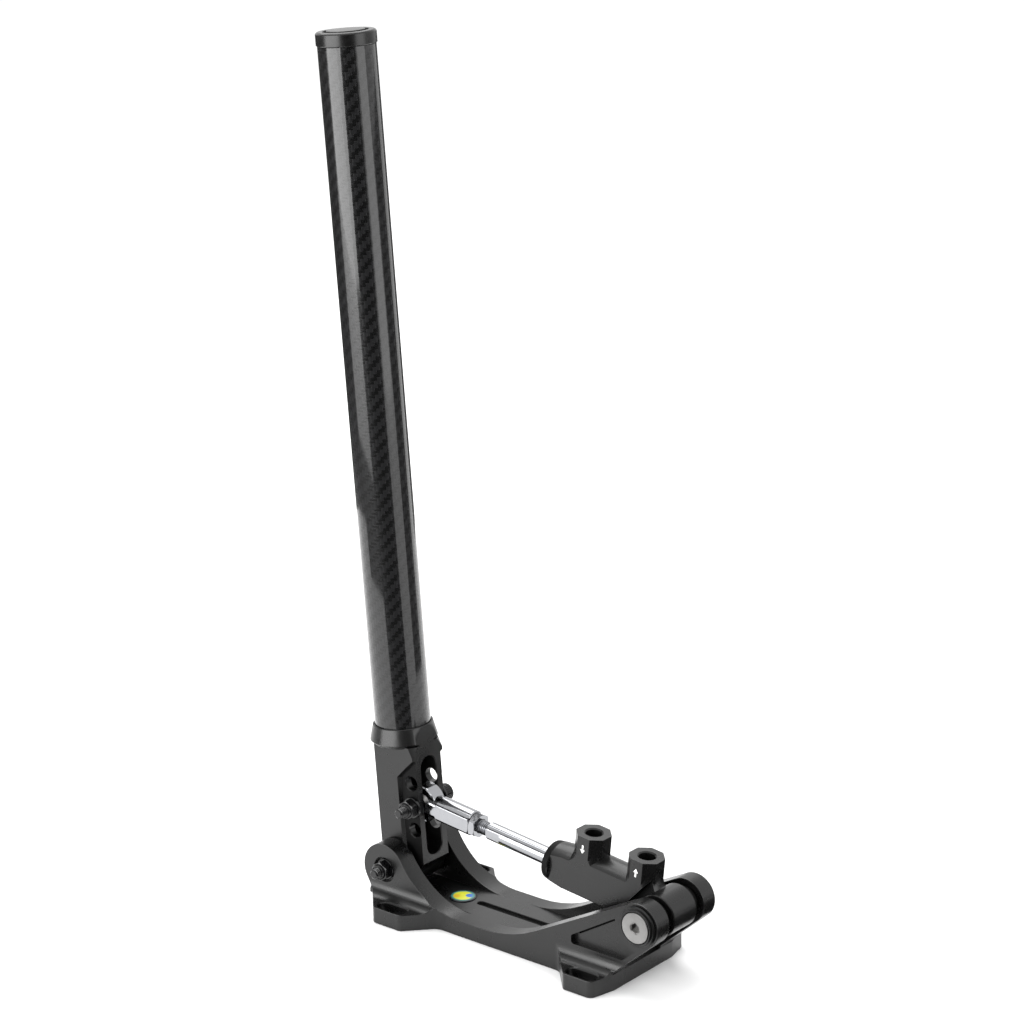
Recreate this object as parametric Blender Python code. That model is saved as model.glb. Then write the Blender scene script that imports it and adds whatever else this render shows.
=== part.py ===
# A hydraulic parking brake lever: a tube on a machined fork, a base with two pairs of ears,
# and a master cylinder that the fork pushes through a rod with a rod end.
# Metres, +Z up. X runs from the lever pivot to the cylinder pivot, and Y = 0 is the middle plane.
# The origin is on the underside of the base, midway between its four slots.

from math import acos, atan2, cos, hypot, pi, radians, sin, sqrt, tan

import bmesh
import bpy
from mathutils import Vector

MM = 0.001

# Clearances
GAP = 0.3 * MM                        # between two pieces that touch or nearly touch
OVERCUT = 1.0 * MM                    # how far a cutter reaches past the face that it cuts
WELD = 0.03 * MM                      # corners closer than this are one corner

# Base plate, seen from above
PLATE_THICKNESS = 9.5 * MM
LEFT_SLOT_X = -68.0 * MM
RIGHT_SLOT_X = 68.0 * MM
BODY_HALF_WIDTH = 25.8 * MM
FOOT_HALF_WIDTH = 41.6 * MM
LEFT_FOOT_TIP_LENGTH = 19.5 * MM
RIGHT_FOOT_TIP_LENGTH = 17.5 * MM
FOOT_FLARE = 15.0 * MM                # how much longer a foot is at the body, at each end
FOOT_END_REACH = 1.5 * MM               # how much longer a right foot's tip is at its end
PLATE_LEFT_OVERHANG = 9.5 * MM        # from the lever pivot to the left end face
PLATE_RIGHT_SETBACK = 16.5 * MM       # from the cylinder pivot back to the right end face
FOOT_ROOT_FILLET = 8.0 * MM
FOOT_TIP_ROUND = 4.0 * MM
PLATE_CORNER_ROUND = 3.0 * MM
SLOT_LENGTH = 20.0 * MM
SLOT_WIDTH = 8.0 * MM
SLOT_Y = 36.0 * MM
GROOVE_START_X = -33.0 * MM
GROOVE_END_X = 34.0 * MM
GROOVE_WIDTH = 4.5 * MM
GROOVE_DEPTH = 2.0 * MM
BADGE_X = -46.5 * MM
BADGE_RADIUS = 7.8 * MM
BADGE_THICKNESS = 0.9 * MM
BADGE_RECESS = 0.5 * MM

# Pivots, seen from the side
LEVER_PIVOT_X = -83.0 * MM
LEVER_PIVOT_Z = 25.5 * MM
CYLINDER_PIVOT_X = 98.5 * MM
CYLINDER_PIVOT_Z = 42.5 * MM

# Ears of the base
LEVER_EAR_RADIUS = 15.2 * MM
LEVER_EAR_INNER_Y = 14.5 * MM
LEVER_CREST_FILLET = 50.0 * MM        # hollow curve from the boss down to the floor
CYLINDER_EAR_RADIUS = 12.8 * MM
CYLINDER_EAR_INNER_Y = 15.5 * MM
CYLINDER_CREST_SLOPE = radians(28.0)
CYLINDER_CREST_FILLET = 78.0 * MM
CYLINDER_EAR_UNDERCUT_SLOPE = radians(41.5)
FOOT_COVE_RADIUS = 8.2 * MM           # between the side of an ear and the foot beside it
BLANK_HEIGHT = 60.0 * MM              # of the block that the base is milled from
COUNTERBORE_RADIUS = 7.2 * MM
COUNTERBORE_DEPTH = 2.5 * MM
EAR_POCKET_DEPTH = 1.8 * MM
EAR_POCKET_LAND = 4.6 * MM            # width of the rim between the pocket and the ear's edges
EAR_POCKET_FLOOR = 20.8 * MM          # height of the pocket's lower edge
EAR_POCKET_BOSS_RADIUS = 15.8 * MM
EAR_POCKET_CORNER = 1.8 * MM

# Lever, measured from its pivot along the lever
LEVER_LEAN = radians(4.1)             # at rest the top leans away from the cylinder
FORK_BACK_RADIUS = 17.6 * MM
FORK_FRONT_X = 17.0 * MM
FORK_SIDE_Y = 13.0 * MM
FORK_BOTTOM_RADIUS = 14.0 * MM
FORK_FRONT_BOTTOM = 1.0 * MM
FORK_BACK_BOTTOM = 5.0 * MM
FORK_CORNER_CUT = 3.0 * MM
CHEEK_Y = 10.8 * MM                   # face of the side pocket, which the washers sit on
SIDE_POCKET_X = 3.0 * MM
SIDE_POCKET_TOP = 65.0 * MM
SIDE_POCKET_SHOULDER = 53.0 * MM
SIDE_POCKET_SLOPE = 2.4 * MM          # how far the pocket's back wall slopes forward
PIVOT_BOSS_RADIUS = 10.0 * MM
FORK_SLOT_TOP = 63.0 * MM
FORK_SLOT_BOTTOM = 4.0 * MM
FORK_SLOT_BACK_X = -3.0 * MM
SHALLOW_SLOT_X = 6.5 * MM
DEEP_SLOT_BOTTOM = 7.0 * MM
ROD_HOLE_X = 12.6 * MM
ROD_HOLE_W = 35.0 * MM
ROD_HOLE_PITCH = 14.0 * MM
ROD_HOLE_RADIUS = 4.2 * MM
COLLAR_TOP = 81.5 * MM
COLLAR_TOP_RADIUS = 17.1 * MM
COLLAR_RING_BOTTOM = 72.5 * MM
COLLAR_RING_STEP = 2.6 * MM
COLLAR_CONE_BOTTOM = 65.0 * MM
COLLAR_CORNER_TOP = 72.0 * MM
COLLAR_CORNER_RADIUS = 18.8 * MM        # of the cone below the ring, which cuts the corners
COLLAR_FLARE = 0.25                   # growth of the cone's radius down the lever
COLLAR_SOCKET_DEPTH = 5.5 * MM
SPIGOT_LENGTH = 30.0 * MM
SPIGOT_FLOOR = 74.5 * MM
SPIGOT_WALL = 3.0 * MM
TUBE_RADIUS = 16.0 * MM
TUBE_WALL = 1.6 * MM
CAP_BOTTOM = 463.7 * MM
CAP_RADIUS = 16.6 * MM
CAP_HEIGHT = 7.4 * MM
CAP_CHAMFER = 0.9 * MM
CAP_PLUG_LENGTH = 14.0 * MM
CAP_DISH_RADIUS = 12.6 * MM
CAP_DISH_DEPTH = 1.2 * MM
CAP_DISC_RADIUS = 10.6 * MM
CAP_DISC_HEIGHT = 1.3 * MM

# Six millimetre bolts, nuts and washers
BOLT_RADIUS = 3.0 * MM
BOLT_TIP_CHAMFER = 0.6 * MM
BOLT_HEAD_RADIUS = 5.1 * MM
BOLT_HEAD_HEIGHT = 6.0 * MM
BOLT_SOCKET_RADIUS = 2.9 * MM
BOLT_SOCKET_DEPTH = 3.0 * MM
NUT_FLATS = 10.0 * MM
NUT_HEX_HEIGHT = 4.4 * MM
NUT_COLLAR_HEIGHT = 1.6 * MM
NUT_COLLAR_RADIUS = 4.5 * MM
WASHER_RADIUS = 6.1 * MM
WASHER_THICKNESS = 1.6 * MM
PIVOT_BOLT_TIP_Y = 35.0 * MM
ROD_BOLT_TIP_Y = 24.0 * MM

# Lever pivot sleeve and bushes
SLEEVE_WALL = 0.9 * MM
BUSH_WALL = 1.2 * MM
BUSH_FLANGE_RADIUS = 8.5 * MM
BUSH_LENGTH = 5.0 * MM

# Rod end
BALL_RADIUS = 7.94 * MM
BALL_HALF_WIDTH = 6.0 * MM
BALL_BORE_RADIUS = 4.0 * MM
LINER_WALL = 1.0 * MM
LINER_HALF_WIDTH = 4.2 * MM
ROD_END_RADIUS = 11.2 * MM
ROD_END_HALF_WIDTH = 4.7 * MM
ROD_END_FLATS = 13.0 * MM
ROD_END_LENGTH = 33.0 * MM            # from the ball's centre to the end of the shank
ROD_END_RIM_CHAMFER = 0.8 * MM
STUD_RADIUS = 4.0 * MM
STUD_CHAMFER = 0.8 * MM
STUD_IN_ROD_END = 14.0 * MM
STUD_IN_PUSHROD = 12.0 * MM
JAM_NUT_FLATS = 13.0 * MM
JAM_NUT_THICKNESS = 5.0 * MM
JAM_NUT_CHAMFER = radians(30.0)
PUSHROD_START = 45.5 * MM             # from the ball's centre to the near end of the push rod
PUSHROD_RADIUS = 5.1 * MM
PUSHROD_CHAMFER = 0.8 * MM
WRENCH_FLAT_LENGTH = 11.0 * MM
WRENCH_FLAT_DISTANCE = 9.0 * MM

# Master cylinder, measured from its pivot along its axis towards the rod
CYLINDER_LENGTH = 79.0 * MM
CYLINDER_RADIUS = 12.8 * MM
CYLINDER_FLAT_Y = 9.25 * MM
NOSE_RADIUS = 11.2 * MM
NOSE_RING_LENGTH = 4.6 * MM
NOSE_TAPER_LENGTH = 12.0 * MM
NOSE_CHAMFER = 1.0 * MM
BORE_RADIUS = 8.0 * MM
BORE_END = 29.0 * MM
FRONT_PORT_X = 53.0 * MM
REAR_PORT_X = 16.7 * MM
PORT_HEIGHT = 26.3 * MM
PORT_FLATS = 18.7 * MM
PORT_HOLE_RADIUS = 4.7 * MM
PORT_HOLE_CHAMFER = 0.7 * MM
PORT_HOLE_BOTTOM = 13.5 * MM
PORT_PASSAGE_RADIUS = 1.3 * MM
BORE_PASSAGE_RADIUS = 1.9 * MM
BORE_PASSAGE_END = 14.0 * MM
PORT_SKIRT_FILLET = 6.0 * MM
PORT_SKIRT_STEPS = 4
PORT_SIDES = 8
NECK_HALF_WIDTH = 6.2 * MM
NECK_TOP_X = 11.1 * MM
NECK_LOW_X = 27.5 * MM
REAR_TAPER_START = 13.0 * MM
REAR_TAPER_END = 4.4 * MM
REAR_TAPER_RADIUS = 10.9 * MM
BARREL_RADIUS = 12.0 * MM
BARREL_HALF_LENGTH = 10.0 * MM
PIN_RADIUS = 6.0 * MM
PIN_HALF_LENGTH = 19.5 * MM
BARREL_BUSH_WALL = 1.6 * MM
BARREL_BUSH_LENGTH = 8.5 * MM
SPACER_RADIUS = 9.0 * MM
CUP_SLEEVE_RADIUS = 8.6 * MM
CUP_FLANGE_RADIUS = 11.4 * MM
CUP_FLANGE_HEIGHT = 1.5 * MM
CUP_STEP_RADIUS = 10.1 * MM
CUP_STEP_HEIGHT = 1.3 * MM
SCREW_HEAD_RADIUS = 8.7 * MM
SCREW_RIM_HEIGHT = 0.5 * MM
SCREW_PROUD = 0.2 * MM
SCREW_RADIUS = 4.0 * MM
SCREW_LENGTH = 18.0 * MM
SCREW_SOCKET_RADIUS = 3.0 * MM
SCREW_SOCKET_DEPTH = 3.0 * MM

# Inside the cylinder
WIPER_THICKNESS = 2.4 * MM
SNAP_RING_THICKNESS = 1.0 * MM
SNAP_RING_DEPTH = 0.6 * MM            # how far the ring stands in its groove
SNAP_RING_WIDTH = 2.0 * MM
SNAP_RING_OPENING = radians(50.0)
STOP_WASHER_THICKNESS = 1.2 * MM
PUSHROD_FLANGE_RADIUS = 7.0 * MM
PUSHROD_FLANGE_THICKNESS = 2.0 * MM
PUSHROD_NOSE_RADIUS = 3.6 * MM
PUSHROD_NOSE_LENGTH = 6.0 * MM
PUSHROD_NOSE_STEPS = 6
PISTON_LENGTH = 14.0 * MM
PISTON_LAND = 3.0 * MM
PISTON_WAIST_RADIUS = 5.0 * MM
CUP_LENGTH = 3.6 * MM
CUP_CORE_RADIUS = 2.6 * MM
SPRING_WIRE_RADIUS = 0.75 * MM
SPRING_RADIUS = 5.6 * MM
SPRING_TURNS = 4.5

# Fineness of the round shapes
LARGE_SEGMENTS = 32
SMALL_SEGMENTS = 16
ARC_STEP = radians(15.0)
SEAM_TURN = radians(2.3)              # keeps the corners of crossing round shapes apart

# Sizes that follow from the ones above
ROD_END_X = (LEVER_PIVOT_X + ROD_HOLE_X * cos(LEVER_LEAN) - ROD_HOLE_W * sin(LEVER_LEAN))
ROD_END_Z = (LEVER_PIVOT_Z + ROD_HOLE_X * sin(LEVER_LEAN) + ROD_HOLE_W * cos(LEVER_LEAN))
ROD_SPAN = hypot(CYLINDER_PIVOT_X - ROD_END_X, CYLINDER_PIVOT_Z - ROD_END_Z)
ROD_SLOPE = atan2(ROD_END_Z - CYLINDER_PIVOT_Z, CYLINDER_PIVOT_X - ROD_END_X)
SLEEVE_OUTER = BOLT_RADIUS + GAP + SLEEVE_WALL
BUSH_BORE = SLEEVE_OUTER + GAP
BUSH_OUTER = BUSH_BORE + BUSH_WALL
CHEEK_SLOT_Y = BALL_HALF_WIDTH + GAP
TUBE_BOTTOM = COLLAR_TOP - COLLAR_SOCKET_DEPTH
TUBE_INNER = TUBE_RADIUS - TUBE_WALL
LINER_OUTER = BALL_RADIUS + GAP + LINER_WALL
PLATE_LEFT_X = LEVER_PIVOT_X - PLATE_LEFT_OVERHANG
PLATE_RIGHT_X = CYLINDER_PIVOT_X - PLATE_RIGHT_SETBACK
WASHER_SEAT_Y = BODY_HALF_WIDTH - COUNTERBORE_DEPTH


def material(name, colour, roughness, metallic):
    made = bpy.data.materials.new(name)
    made.use_nodes = True
    shader = made.node_tree.nodes["Principled BSDF"]
    shader.inputs["Base Color"].default_value = (*colour, 1.0)
    shader.inputs["Roughness"].default_value = roughness
    shader.inputs["Metallic"].default_value = metallic
    return made


def frame_empty(name, x, z, turn):
    """An empty on a joint's axis; turn is about +Y."""
    empty = bpy.data.objects.new(name, None)
    bpy.context.collection.objects.link(empty)
    empty.location = (x, 0.0, z)
    empty.rotation_euler = (0.0, turn, 0.0)
    return empty


def add_object(name, shape, finish=None, parent=None):
    """Turns a bmesh into an object, with its faces pointing out."""
    bmesh.ops.recalc_face_normals(shape, faces=shape.faces)
    mesh = bpy.data.meshes.new(name)
    shape.to_mesh(mesh)
    shape.free()
    made = bpy.data.objects.new(name, mesh)
    bpy.context.collection.objects.link(made)
    if finish:
        mesh.materials.append(finish)
    made.parent = parent
    return made


def smooth(made, angle=radians(32.0)):
    made.data.shade_smooth()
    made.data.set_sharp_from_angle(angle=angle)


def weld(made):
    """Merges the corners that a cut has left almost on one another."""
    shape = bmesh.new()
    shape.from_mesh(made.data)
    bmesh.ops.remove_doubles(shape, verts=shape.verts, dist=WELD)
    shape.to_mesh(made.data)
    shape.free()


def combine(target, tool, operation):
    """Joins a tool to the target or cuts it out, and removes the tool.

    The tool is made in the target's own frame, so the target leaves its parent meanwhile.
    """
    parent = target.parent
    target.parent = None
    tool.hide_render = True
    tool.display_type = "WIRE"
    step = target.modifiers.new(operation, "BOOLEAN")
    step.operation = operation
    step.object = tool
    bpy.context.view_layer.update()
    result = target.evaluated_get(bpy.context.evaluated_depsgraph_get())
    mesh = bpy.data.meshes.new_from_object(result)
    target.modifiers.clear()
    target.data = mesh
    target.parent = parent
    bpy.data.objects.remove(tool)


def cut(target, tool):
    combine(target, tool, "DIFFERENCE")


def join(target, tool):
    combine(target, tool, "UNION")


def keep(target, tool):
    combine(target, tool, "INTERSECT")


def arc(centre, radius, start, end):
    """Points on an arc in a plane, from one angle to another."""
    steps = max(2, round(abs(end - start) / ARC_STEP))
    turns = [start + (end - start) * i / steps for i in range(steps + 1)]
    return [(centre[0] + radius * cos(t), centre[1] + radius * sin(t)) for t in turns]


def fillet(before, corner, after, radius):
    """Points of an arc that rounds a corner of an outline."""
    here = Vector(corner)
    back = (Vector(before) - here).normalized()
    ahead = (Vector(after) - here).normalized()
    half = acos(max(-1.0, min(1.0, back.dot(ahead)))) / 2
    centre = here + (back + ahead).normalized() * radius / sin(half)
    start = here + back * radius / tan(half) - centre
    end = here + ahead * radius / tan(half) - centre
    first = atan2(start.y, start.x)
    sweep = (atan2(end.y, end.x) - first + pi) % (2 * pi) - pi
    return arc(centre, radius, first, first + sweep)


def rounded(corners):
    """An outline from corners given as (x, y, radius); radius 0 keeps a corner sharp."""
    points = []
    for i, (x, y, radius) in enumerate(corners):
        before = corners[i - 1][:2]
        after = corners[(i + 1) % len(corners)][:2]
        points += fillet(before, (x, y), after, radius) if radius else [(x, y)]
    return points


def prism(name, outline, low, high, along, finish=None, parent=None):
    """An outline given a thickness along Y or Z. Along Y the outline is in (x, z)."""
    shape = bmesh.new()
    rings = []
    for depth in (low, high):
        if along == "Y":
            rings.append([shape.verts.new((u, depth, v)) for u, v in outline])
        else:
            rings.append([shape.verts.new((u, v, depth)) for u, v in outline])
    shape.faces.new(rings[0])
    shape.faces.new(rings[1])
    for i in range(len(outline)):
        shape.faces.new((rings[0][i - 1], rings[0][i], rings[1][i], rings[1][i - 1]))
    return add_object(name, shape, finish, parent)


def lathe(name, profile, along, count, finish=None, parent=None, centre=(0, 0, 0), start=0.0):
    """Turns a closed profile of (radius, place along the axis) about X, Y or Z."""
    shape = bmesh.new()
    axes = {"X": (2, 1, 0), "Y": (0, 2, 1), "Z": (0, 1, 2)}[along]
    rings = []
    for radius, place in profile:
        ring = []
        for i in range(count if radius > 0 else 1):
            turn = start + 2 * pi * i / count
            spot = [0.0, 0.0, 0.0]
            spot[axes[0]] = radius * cos(turn)
            spot[axes[1]] = radius * sin(turn)
            spot[axes[2]] = place
            ring.append(shape.verts.new(Vector(spot) + Vector(centre)))
        rings.append(ring)
    for i, ring in enumerate(rings):
        other = rings[i - 1]
        if len(ring) == 1 and len(other) == 1:
            continue
        for k in range(count):
            near = (k + 1) % count
            corners = [ring[k % len(ring)], ring[near % len(ring)]]
            corners += [other[near % len(other)], other[k % len(other)]]
            shape.faces.new(list(dict.fromkeys(corners)))
    made = add_object(name, shape, finish, parent)
    smooth(made)
    return made


def drum(name, radius, low, high, along, count, **more):
    """A plain cylinder, used as a cutter and as a blank."""
    profile = [(0.0, low), (radius, low), (radius, high), (0.0, high)]
    return lathe(name, profile, along, count, start=SEAM_TURN, **more)


def block(name, low, high):
    outline = [(low[0], low[1]), (high[0], low[1]), (high[0], high[1]), (low[0], high[1])]
    return prism(name, outline, low[2], high[2], "Z")


def polygon(flats, sides, start=0.0):
    """A regular polygon outline by its distance across flats."""
    radius = flats / 2 / cos(pi / sides)
    return [(radius * cos(start + 2 * pi * i / sides), radius * sin(start + 2 * pi * i / sides))
            for i in range(sides)]


# Finishes

ANODISED = material("black_anodised_aluminium", (0.022, 0.022, 0.023), 0.42, 0.6)
CARBON = material("carbon_fibre", (0.030, 0.030, 0.032), 0.16, 0.0)
ZINC = material("bright_zinc_steel", (0.66, 0.66, 0.67), 0.24, 1.0)
BLACK_STEEL = material("black_oxide_steel", (0.016, 0.016, 0.017), 0.34, 0.8)
STAINLESS = material("stainless_steel", (0.58, 0.57, 0.55), 0.34, 1.0)
BUSHING = material("black_acetal", (0.012, 0.012, 0.012), 0.48, 0.0)
LINING = material("woven_liner", (0.30, 0.20, 0.09), 0.6, 0.0)
RUBBER = material("black_rubber", (0.014, 0.014, 0.014), 0.72, 0.0)
BADGE = material("badge_enamel", (0.02, 0.16, 0.52), 0.25, 0.0)
SPRING_STEEL = material("spring_steel", (0.30, 0.30, 0.31), 0.35, 1.0)


def foot_outline(slot_x, tip_length, far_x=None):
    """Corners of one foot, from left to right; far_x is the end face that a foot runs into."""
    tip = tip_length / 2
    corners = [(slot_x - tip - FOOT_FLARE, BODY_HALF_WIDTH, FOOT_ROOT_FILLET),
               (slot_x - tip, FOOT_HALF_WIDTH, FOOT_TIP_ROUND)]
    if far_x is None:
        corners += [(slot_x + tip, FOOT_HALF_WIDTH, FOOT_TIP_ROUND),
                    (slot_x + tip + FOOT_FLARE, BODY_HALF_WIDTH, FOOT_ROOT_FILLET)]
    else:
        corners += [(slot_x + tip + FOOT_END_REACH, FOOT_HALF_WIDTH, FOOT_TIP_ROUND),
                    (far_x, BODY_HALF_WIDTH, 0)]
    return corners


def plate_outline():
    """The base from above: a long body with two feet at each side."""
    left = foot_outline(LEFT_SLOT_X, LEFT_FOOT_TIP_LENGTH)
    left[0] = (PLATE_LEFT_X, BODY_HALF_WIDTH, PLATE_CORNER_ROUND)
    right = foot_outline(RIGHT_SLOT_X, RIGHT_FOOT_TIP_LENGTH, PLATE_RIGHT_X)
    side = left + right
    return rounded(side + [(x, -y, radius) for x, y, radius in reversed(side)])


def lever_ear_top():
    """Top line of a lever ear from the side, round the boss and down a hollow crest."""
    pivot = (LEVER_PIVOT_X, LEVER_PIVOT_Z)
    rise = PLATE_THICKNESS + LEVER_CREST_FILLET - LEVER_PIVOT_Z
    reach = sqrt((LEVER_CREST_FILLET + LEVER_EAR_RADIUS) ** 2 - rise ** 2)
    hollow = (LEVER_PIVOT_X + reach, LEVER_PIVOT_Z + rise)
    turn = atan2(rise, reach)
    back = pi + acos(PLATE_LEFT_OVERHANG / LEVER_EAR_RADIUS)
    return (arc(pivot, LEVER_EAR_RADIUS, back, turn)[:-1]
            + arc(hollow, LEVER_CREST_FILLET, turn + pi, 3 * pi / 2))


def cylinder_ear_top():
    """Top line of a cylinder ear from the side, up a hollow crest, round the boss and back."""
    pivot = (CYLINDER_PIVOT_X, CYLINDER_PIVOT_Z)
    crest = pi / 2 + CYLINDER_CREST_SLOPE
    under = -pi / 2 + CYLINDER_EAR_UNDERCUT_SLOPE
    top = arc(pivot, CYLINDER_EAR_RADIUS, crest, under)
    drop = top[0][1] - PLATE_THICKNESS
    meet = (top[0][0] - drop / tan(CYLINDER_CREST_SLOPE), PLATE_THICKNESS)
    foot = fillet((meet[0] - drop, meet[1]), meet, top[0], CYLINDER_CREST_FILLET)
    fall = (top[-1][0] - PLATE_RIGHT_X) * tan(CYLINDER_EAR_UNDERCUT_SLOPE)
    return foot + top + [(PLATE_RIGHT_X, top[-1][1] - fall)]


def ear_pocket_outline():
    """The shallow pocket in the outer face of a cylinder ear, clear of its round boss."""
    pivot = Vector((CYLINDER_PIVOT_X, CYLINDER_PIVOT_Z))
    along = Vector((cos(CYLINDER_CREST_SLOPE), sin(CYLINDER_CREST_SLOPE)))
    under = Vector((cos(CYLINDER_EAR_UNDERCUT_SLOPE), sin(CYLINDER_EAR_UNDERCUT_SLOPE)))
    up = Vector((-along.y, along.x))
    down = Vector((under.y, -under.x))
    high = CYLINDER_EAR_RADIUS - EAR_POCKET_LAND
    boss = EAR_POCKET_BOSS_RADIUS
    reach = sqrt(boss ** 2 - high ** 2)
    upper = pivot + up * high - along * reach
    lower = pivot + down * high - under * reach
    left = upper - along * (upper.y - EAR_POCKET_FLOOR) / along.y
    bottom = lower - under * (lower.y - EAR_POCKET_FLOOR) / under.y
    start = atan2(lower.y - pivot.y, lower.x - pivot.x) % (2 * pi)
    end = atan2(upper.y - pivot.y, upper.x - pivot.x) % (2 * pi)
    rim = arc(pivot, boss, start, end)
    corner = EAR_POCKET_CORNER
    return (fillet(tuple(upper), tuple(left), tuple(bottom), corner)
            + fillet(tuple(left), tuple(bottom), tuple(lower), corner) + rim)


def slot_outline(x, y):
    half = (SLOT_LENGTH - SLOT_WIDTH) / 2
    radius = SLOT_WIDTH / 2
    return (arc((x + half, y), radius, -pi / 2, pi / 2)
            + arc((x - half, y), radius, pi / 2, 3 * pi / 2))


def foot_cutter(side, low, high):
    """What is milled off above a foot, beside the body, up to a cove along the ear."""
    centre = (BODY_HALF_WIDTH + FOOT_COVE_RADIUS, PLATE_THICKNESS + FOOT_COVE_RADIUS)
    far = FOOT_HALF_WIDTH + FOOT_COVE_RADIUS
    top = BLANK_HEIGHT + 2 * OVERCUT
    section = arc(centre, FOOT_COVE_RADIUS, pi, 3 * pi / 2)
    section += [(far, PLATE_THICKNESS), (far, top), (BODY_HALF_WIDTH, top)]
    return bar("foot_cutter", [(side * y, z) for y, z in section], low, high)


def make_base_frame():
    base = prism("base_frame", plate_outline(), 0.0, BLANK_HEIGHT, "Z", ANODISED)
    # Blocks for the ears' bosses, which stand out past the plate's ends
    left_end = LEVER_PIVOT_X - LEVER_EAR_RADIUS - OVERCUT
    right_end = CYLINDER_PIVOT_X + CYLINDER_EAR_RADIUS + OVERCUT
    high = BLANK_HEIGHT + OVERCUT
    low = PLATE_THICKNESS + GAP
    join(base, block("left_end", (left_end, -BODY_HALF_WIDTH, low),
                     (LEFT_SLOT_X, BODY_HALF_WIDTH, high)))
    join(base, block("right_end", (RIGHT_SLOT_X, -BODY_HALF_WIDTH, low),
                     (right_end, BODY_HALF_WIDTH, high)))
    # Milled to the side view, then beside the ears and between them
    left_top, right_top = lever_ear_top(), cylinder_ear_top()
    side_view = ([(PLATE_LEFT_X, -OVERCUT)] + left_top + right_top
                 + [(PLATE_RIGHT_X, -OVERCUT)])
    wide = FOOT_HALF_WIDTH + OVERCUT
    keep(base, prism("side_view", side_view, -wide, wide, "Y"))
    root = FOOT_FLARE + FOOT_ROOT_FILLET
    left_foot_end = LEFT_SLOT_X + LEFT_FOOT_TIP_LENGTH / 2 + root
    right_foot_start = RIGHT_SLOT_X - RIGHT_FOOT_TIP_LENGTH / 2 - root
    for side in (-1, 1):
        cut(base, foot_cutter(side, left_end - OVERCUT, left_foot_end))
        cut(base, foot_cutter(side, right_foot_start, right_end + OVERCUT))
    cut(base, block("lever_channel", (left_end, -LEVER_EAR_INNER_Y, PLATE_THICKNESS),
                    (left_top[-1][0] + OVERCUT, LEVER_EAR_INNER_Y, high)))
    cut(base, block("cylinder_channel", (right_top[0][0] - OVERCUT, -CYLINDER_EAR_INNER_Y,
                                         PLATE_THICKNESS),
                    (right_end, CYLINDER_EAR_INNER_Y, high)))
    for side in (-1, 1):
        outer = side * (BODY_HALF_WIDTH + OVERCUT)
        floor = side * (BODY_HALF_WIDTH - EAR_POCKET_DEPTH)
        cut(base, prism("pocket", ear_pocket_outline(), floor, outer, "Y"))
        seat = drum("counterbore", COUNTERBORE_RADIUS, side * WASHER_SEAT_Y, outer, "Y",
                    LARGE_SEGMENTS, centre=(LEVER_PIVOT_X, 0, LEVER_PIVOT_Z))
        cut(base, seat)
        for x in (LEFT_SLOT_X, RIGHT_SLOT_X):
            cut(base, prism("slot", slot_outline(x, side * SLOT_Y), -OVERCUT,
                            PLATE_THICKNESS + OVERCUT, "Z"))
    reach = BODY_HALF_WIDTH + OVERCUT
    for x, z, radius in ((LEVER_PIVOT_X, LEVER_PIVOT_Z, BOLT_RADIUS + GAP),
                         (CYLINDER_PIVOT_X, CYLINDER_PIVOT_Z, CUP_SLEEVE_RADIUS + GAP)):
        cut(base, drum("bore", radius, -reach, reach, "Y", SMALL_SEGMENTS, centre=(x, 0, z)))
    groove = (arc((GROOVE_END_X, 0), GROOVE_WIDTH / 2, -pi / 2, pi / 2)
              + arc((GROOVE_START_X, 0), GROOVE_WIDTH / 2, pi / 2, 3 * pi / 2))
    cut(base, prism("groove", groove, PLATE_THICKNESS - GROOVE_DEPTH,
                    PLATE_THICKNESS + OVERCUT, "Z"))
    cut(base, drum("badge_seat", BADGE_RADIUS + GAP, PLATE_THICKNESS - BADGE_RECESS,
                   PLATE_THICKNESS + OVERCUT, "Z", SMALL_SEGMENTS, centre=(BADGE_X, 0, 0)))
    weld(base)
    smooth(base)
    return base


def make_badge():
    low = PLATE_THICKNESS - BADGE_RECESS + GAP
    drum("floor_badge", BADGE_RADIUS, low, low + BADGE_THICKNESS, "Z", SMALL_SEGMENTS,
         finish=BADGE, centre=(BADGE_X, 0, 0))


def make_bolt(name, head_y, tip_y, centre, parent):
    """A socket head bolt along Y: the head at +Y, its seat at head_y, the tip at -tip_y."""
    top = head_y + BOLT_HEAD_HEIGHT
    profile = [(0.0, -tip_y), (BOLT_RADIUS - BOLT_TIP_CHAMFER, -tip_y),
               (BOLT_RADIUS, BOLT_TIP_CHAMFER - tip_y), (BOLT_RADIUS, head_y),
               (BOLT_HEAD_RADIUS, head_y), (BOLT_HEAD_RADIUS, top - BOLT_TIP_CHAMFER),
               (BOLT_HEAD_RADIUS - BOLT_TIP_CHAMFER, top), (0.0, top)]
    bolt = lathe(name, profile, "Y", SMALL_SEGMENTS, BLACK_STEEL, parent, centre)
    socket = polygon(BOLT_SOCKET_RADIUS * 2 * cos(pi / 6), 6)
    outline = [(centre[0] + u, centre[2] + v) for u, v in socket]
    cut(bolt, prism("socket", outline, top - BOLT_SOCKET_DEPTH, top + OVERCUT, "Y"))
    smooth(bolt)
    return bolt


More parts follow.
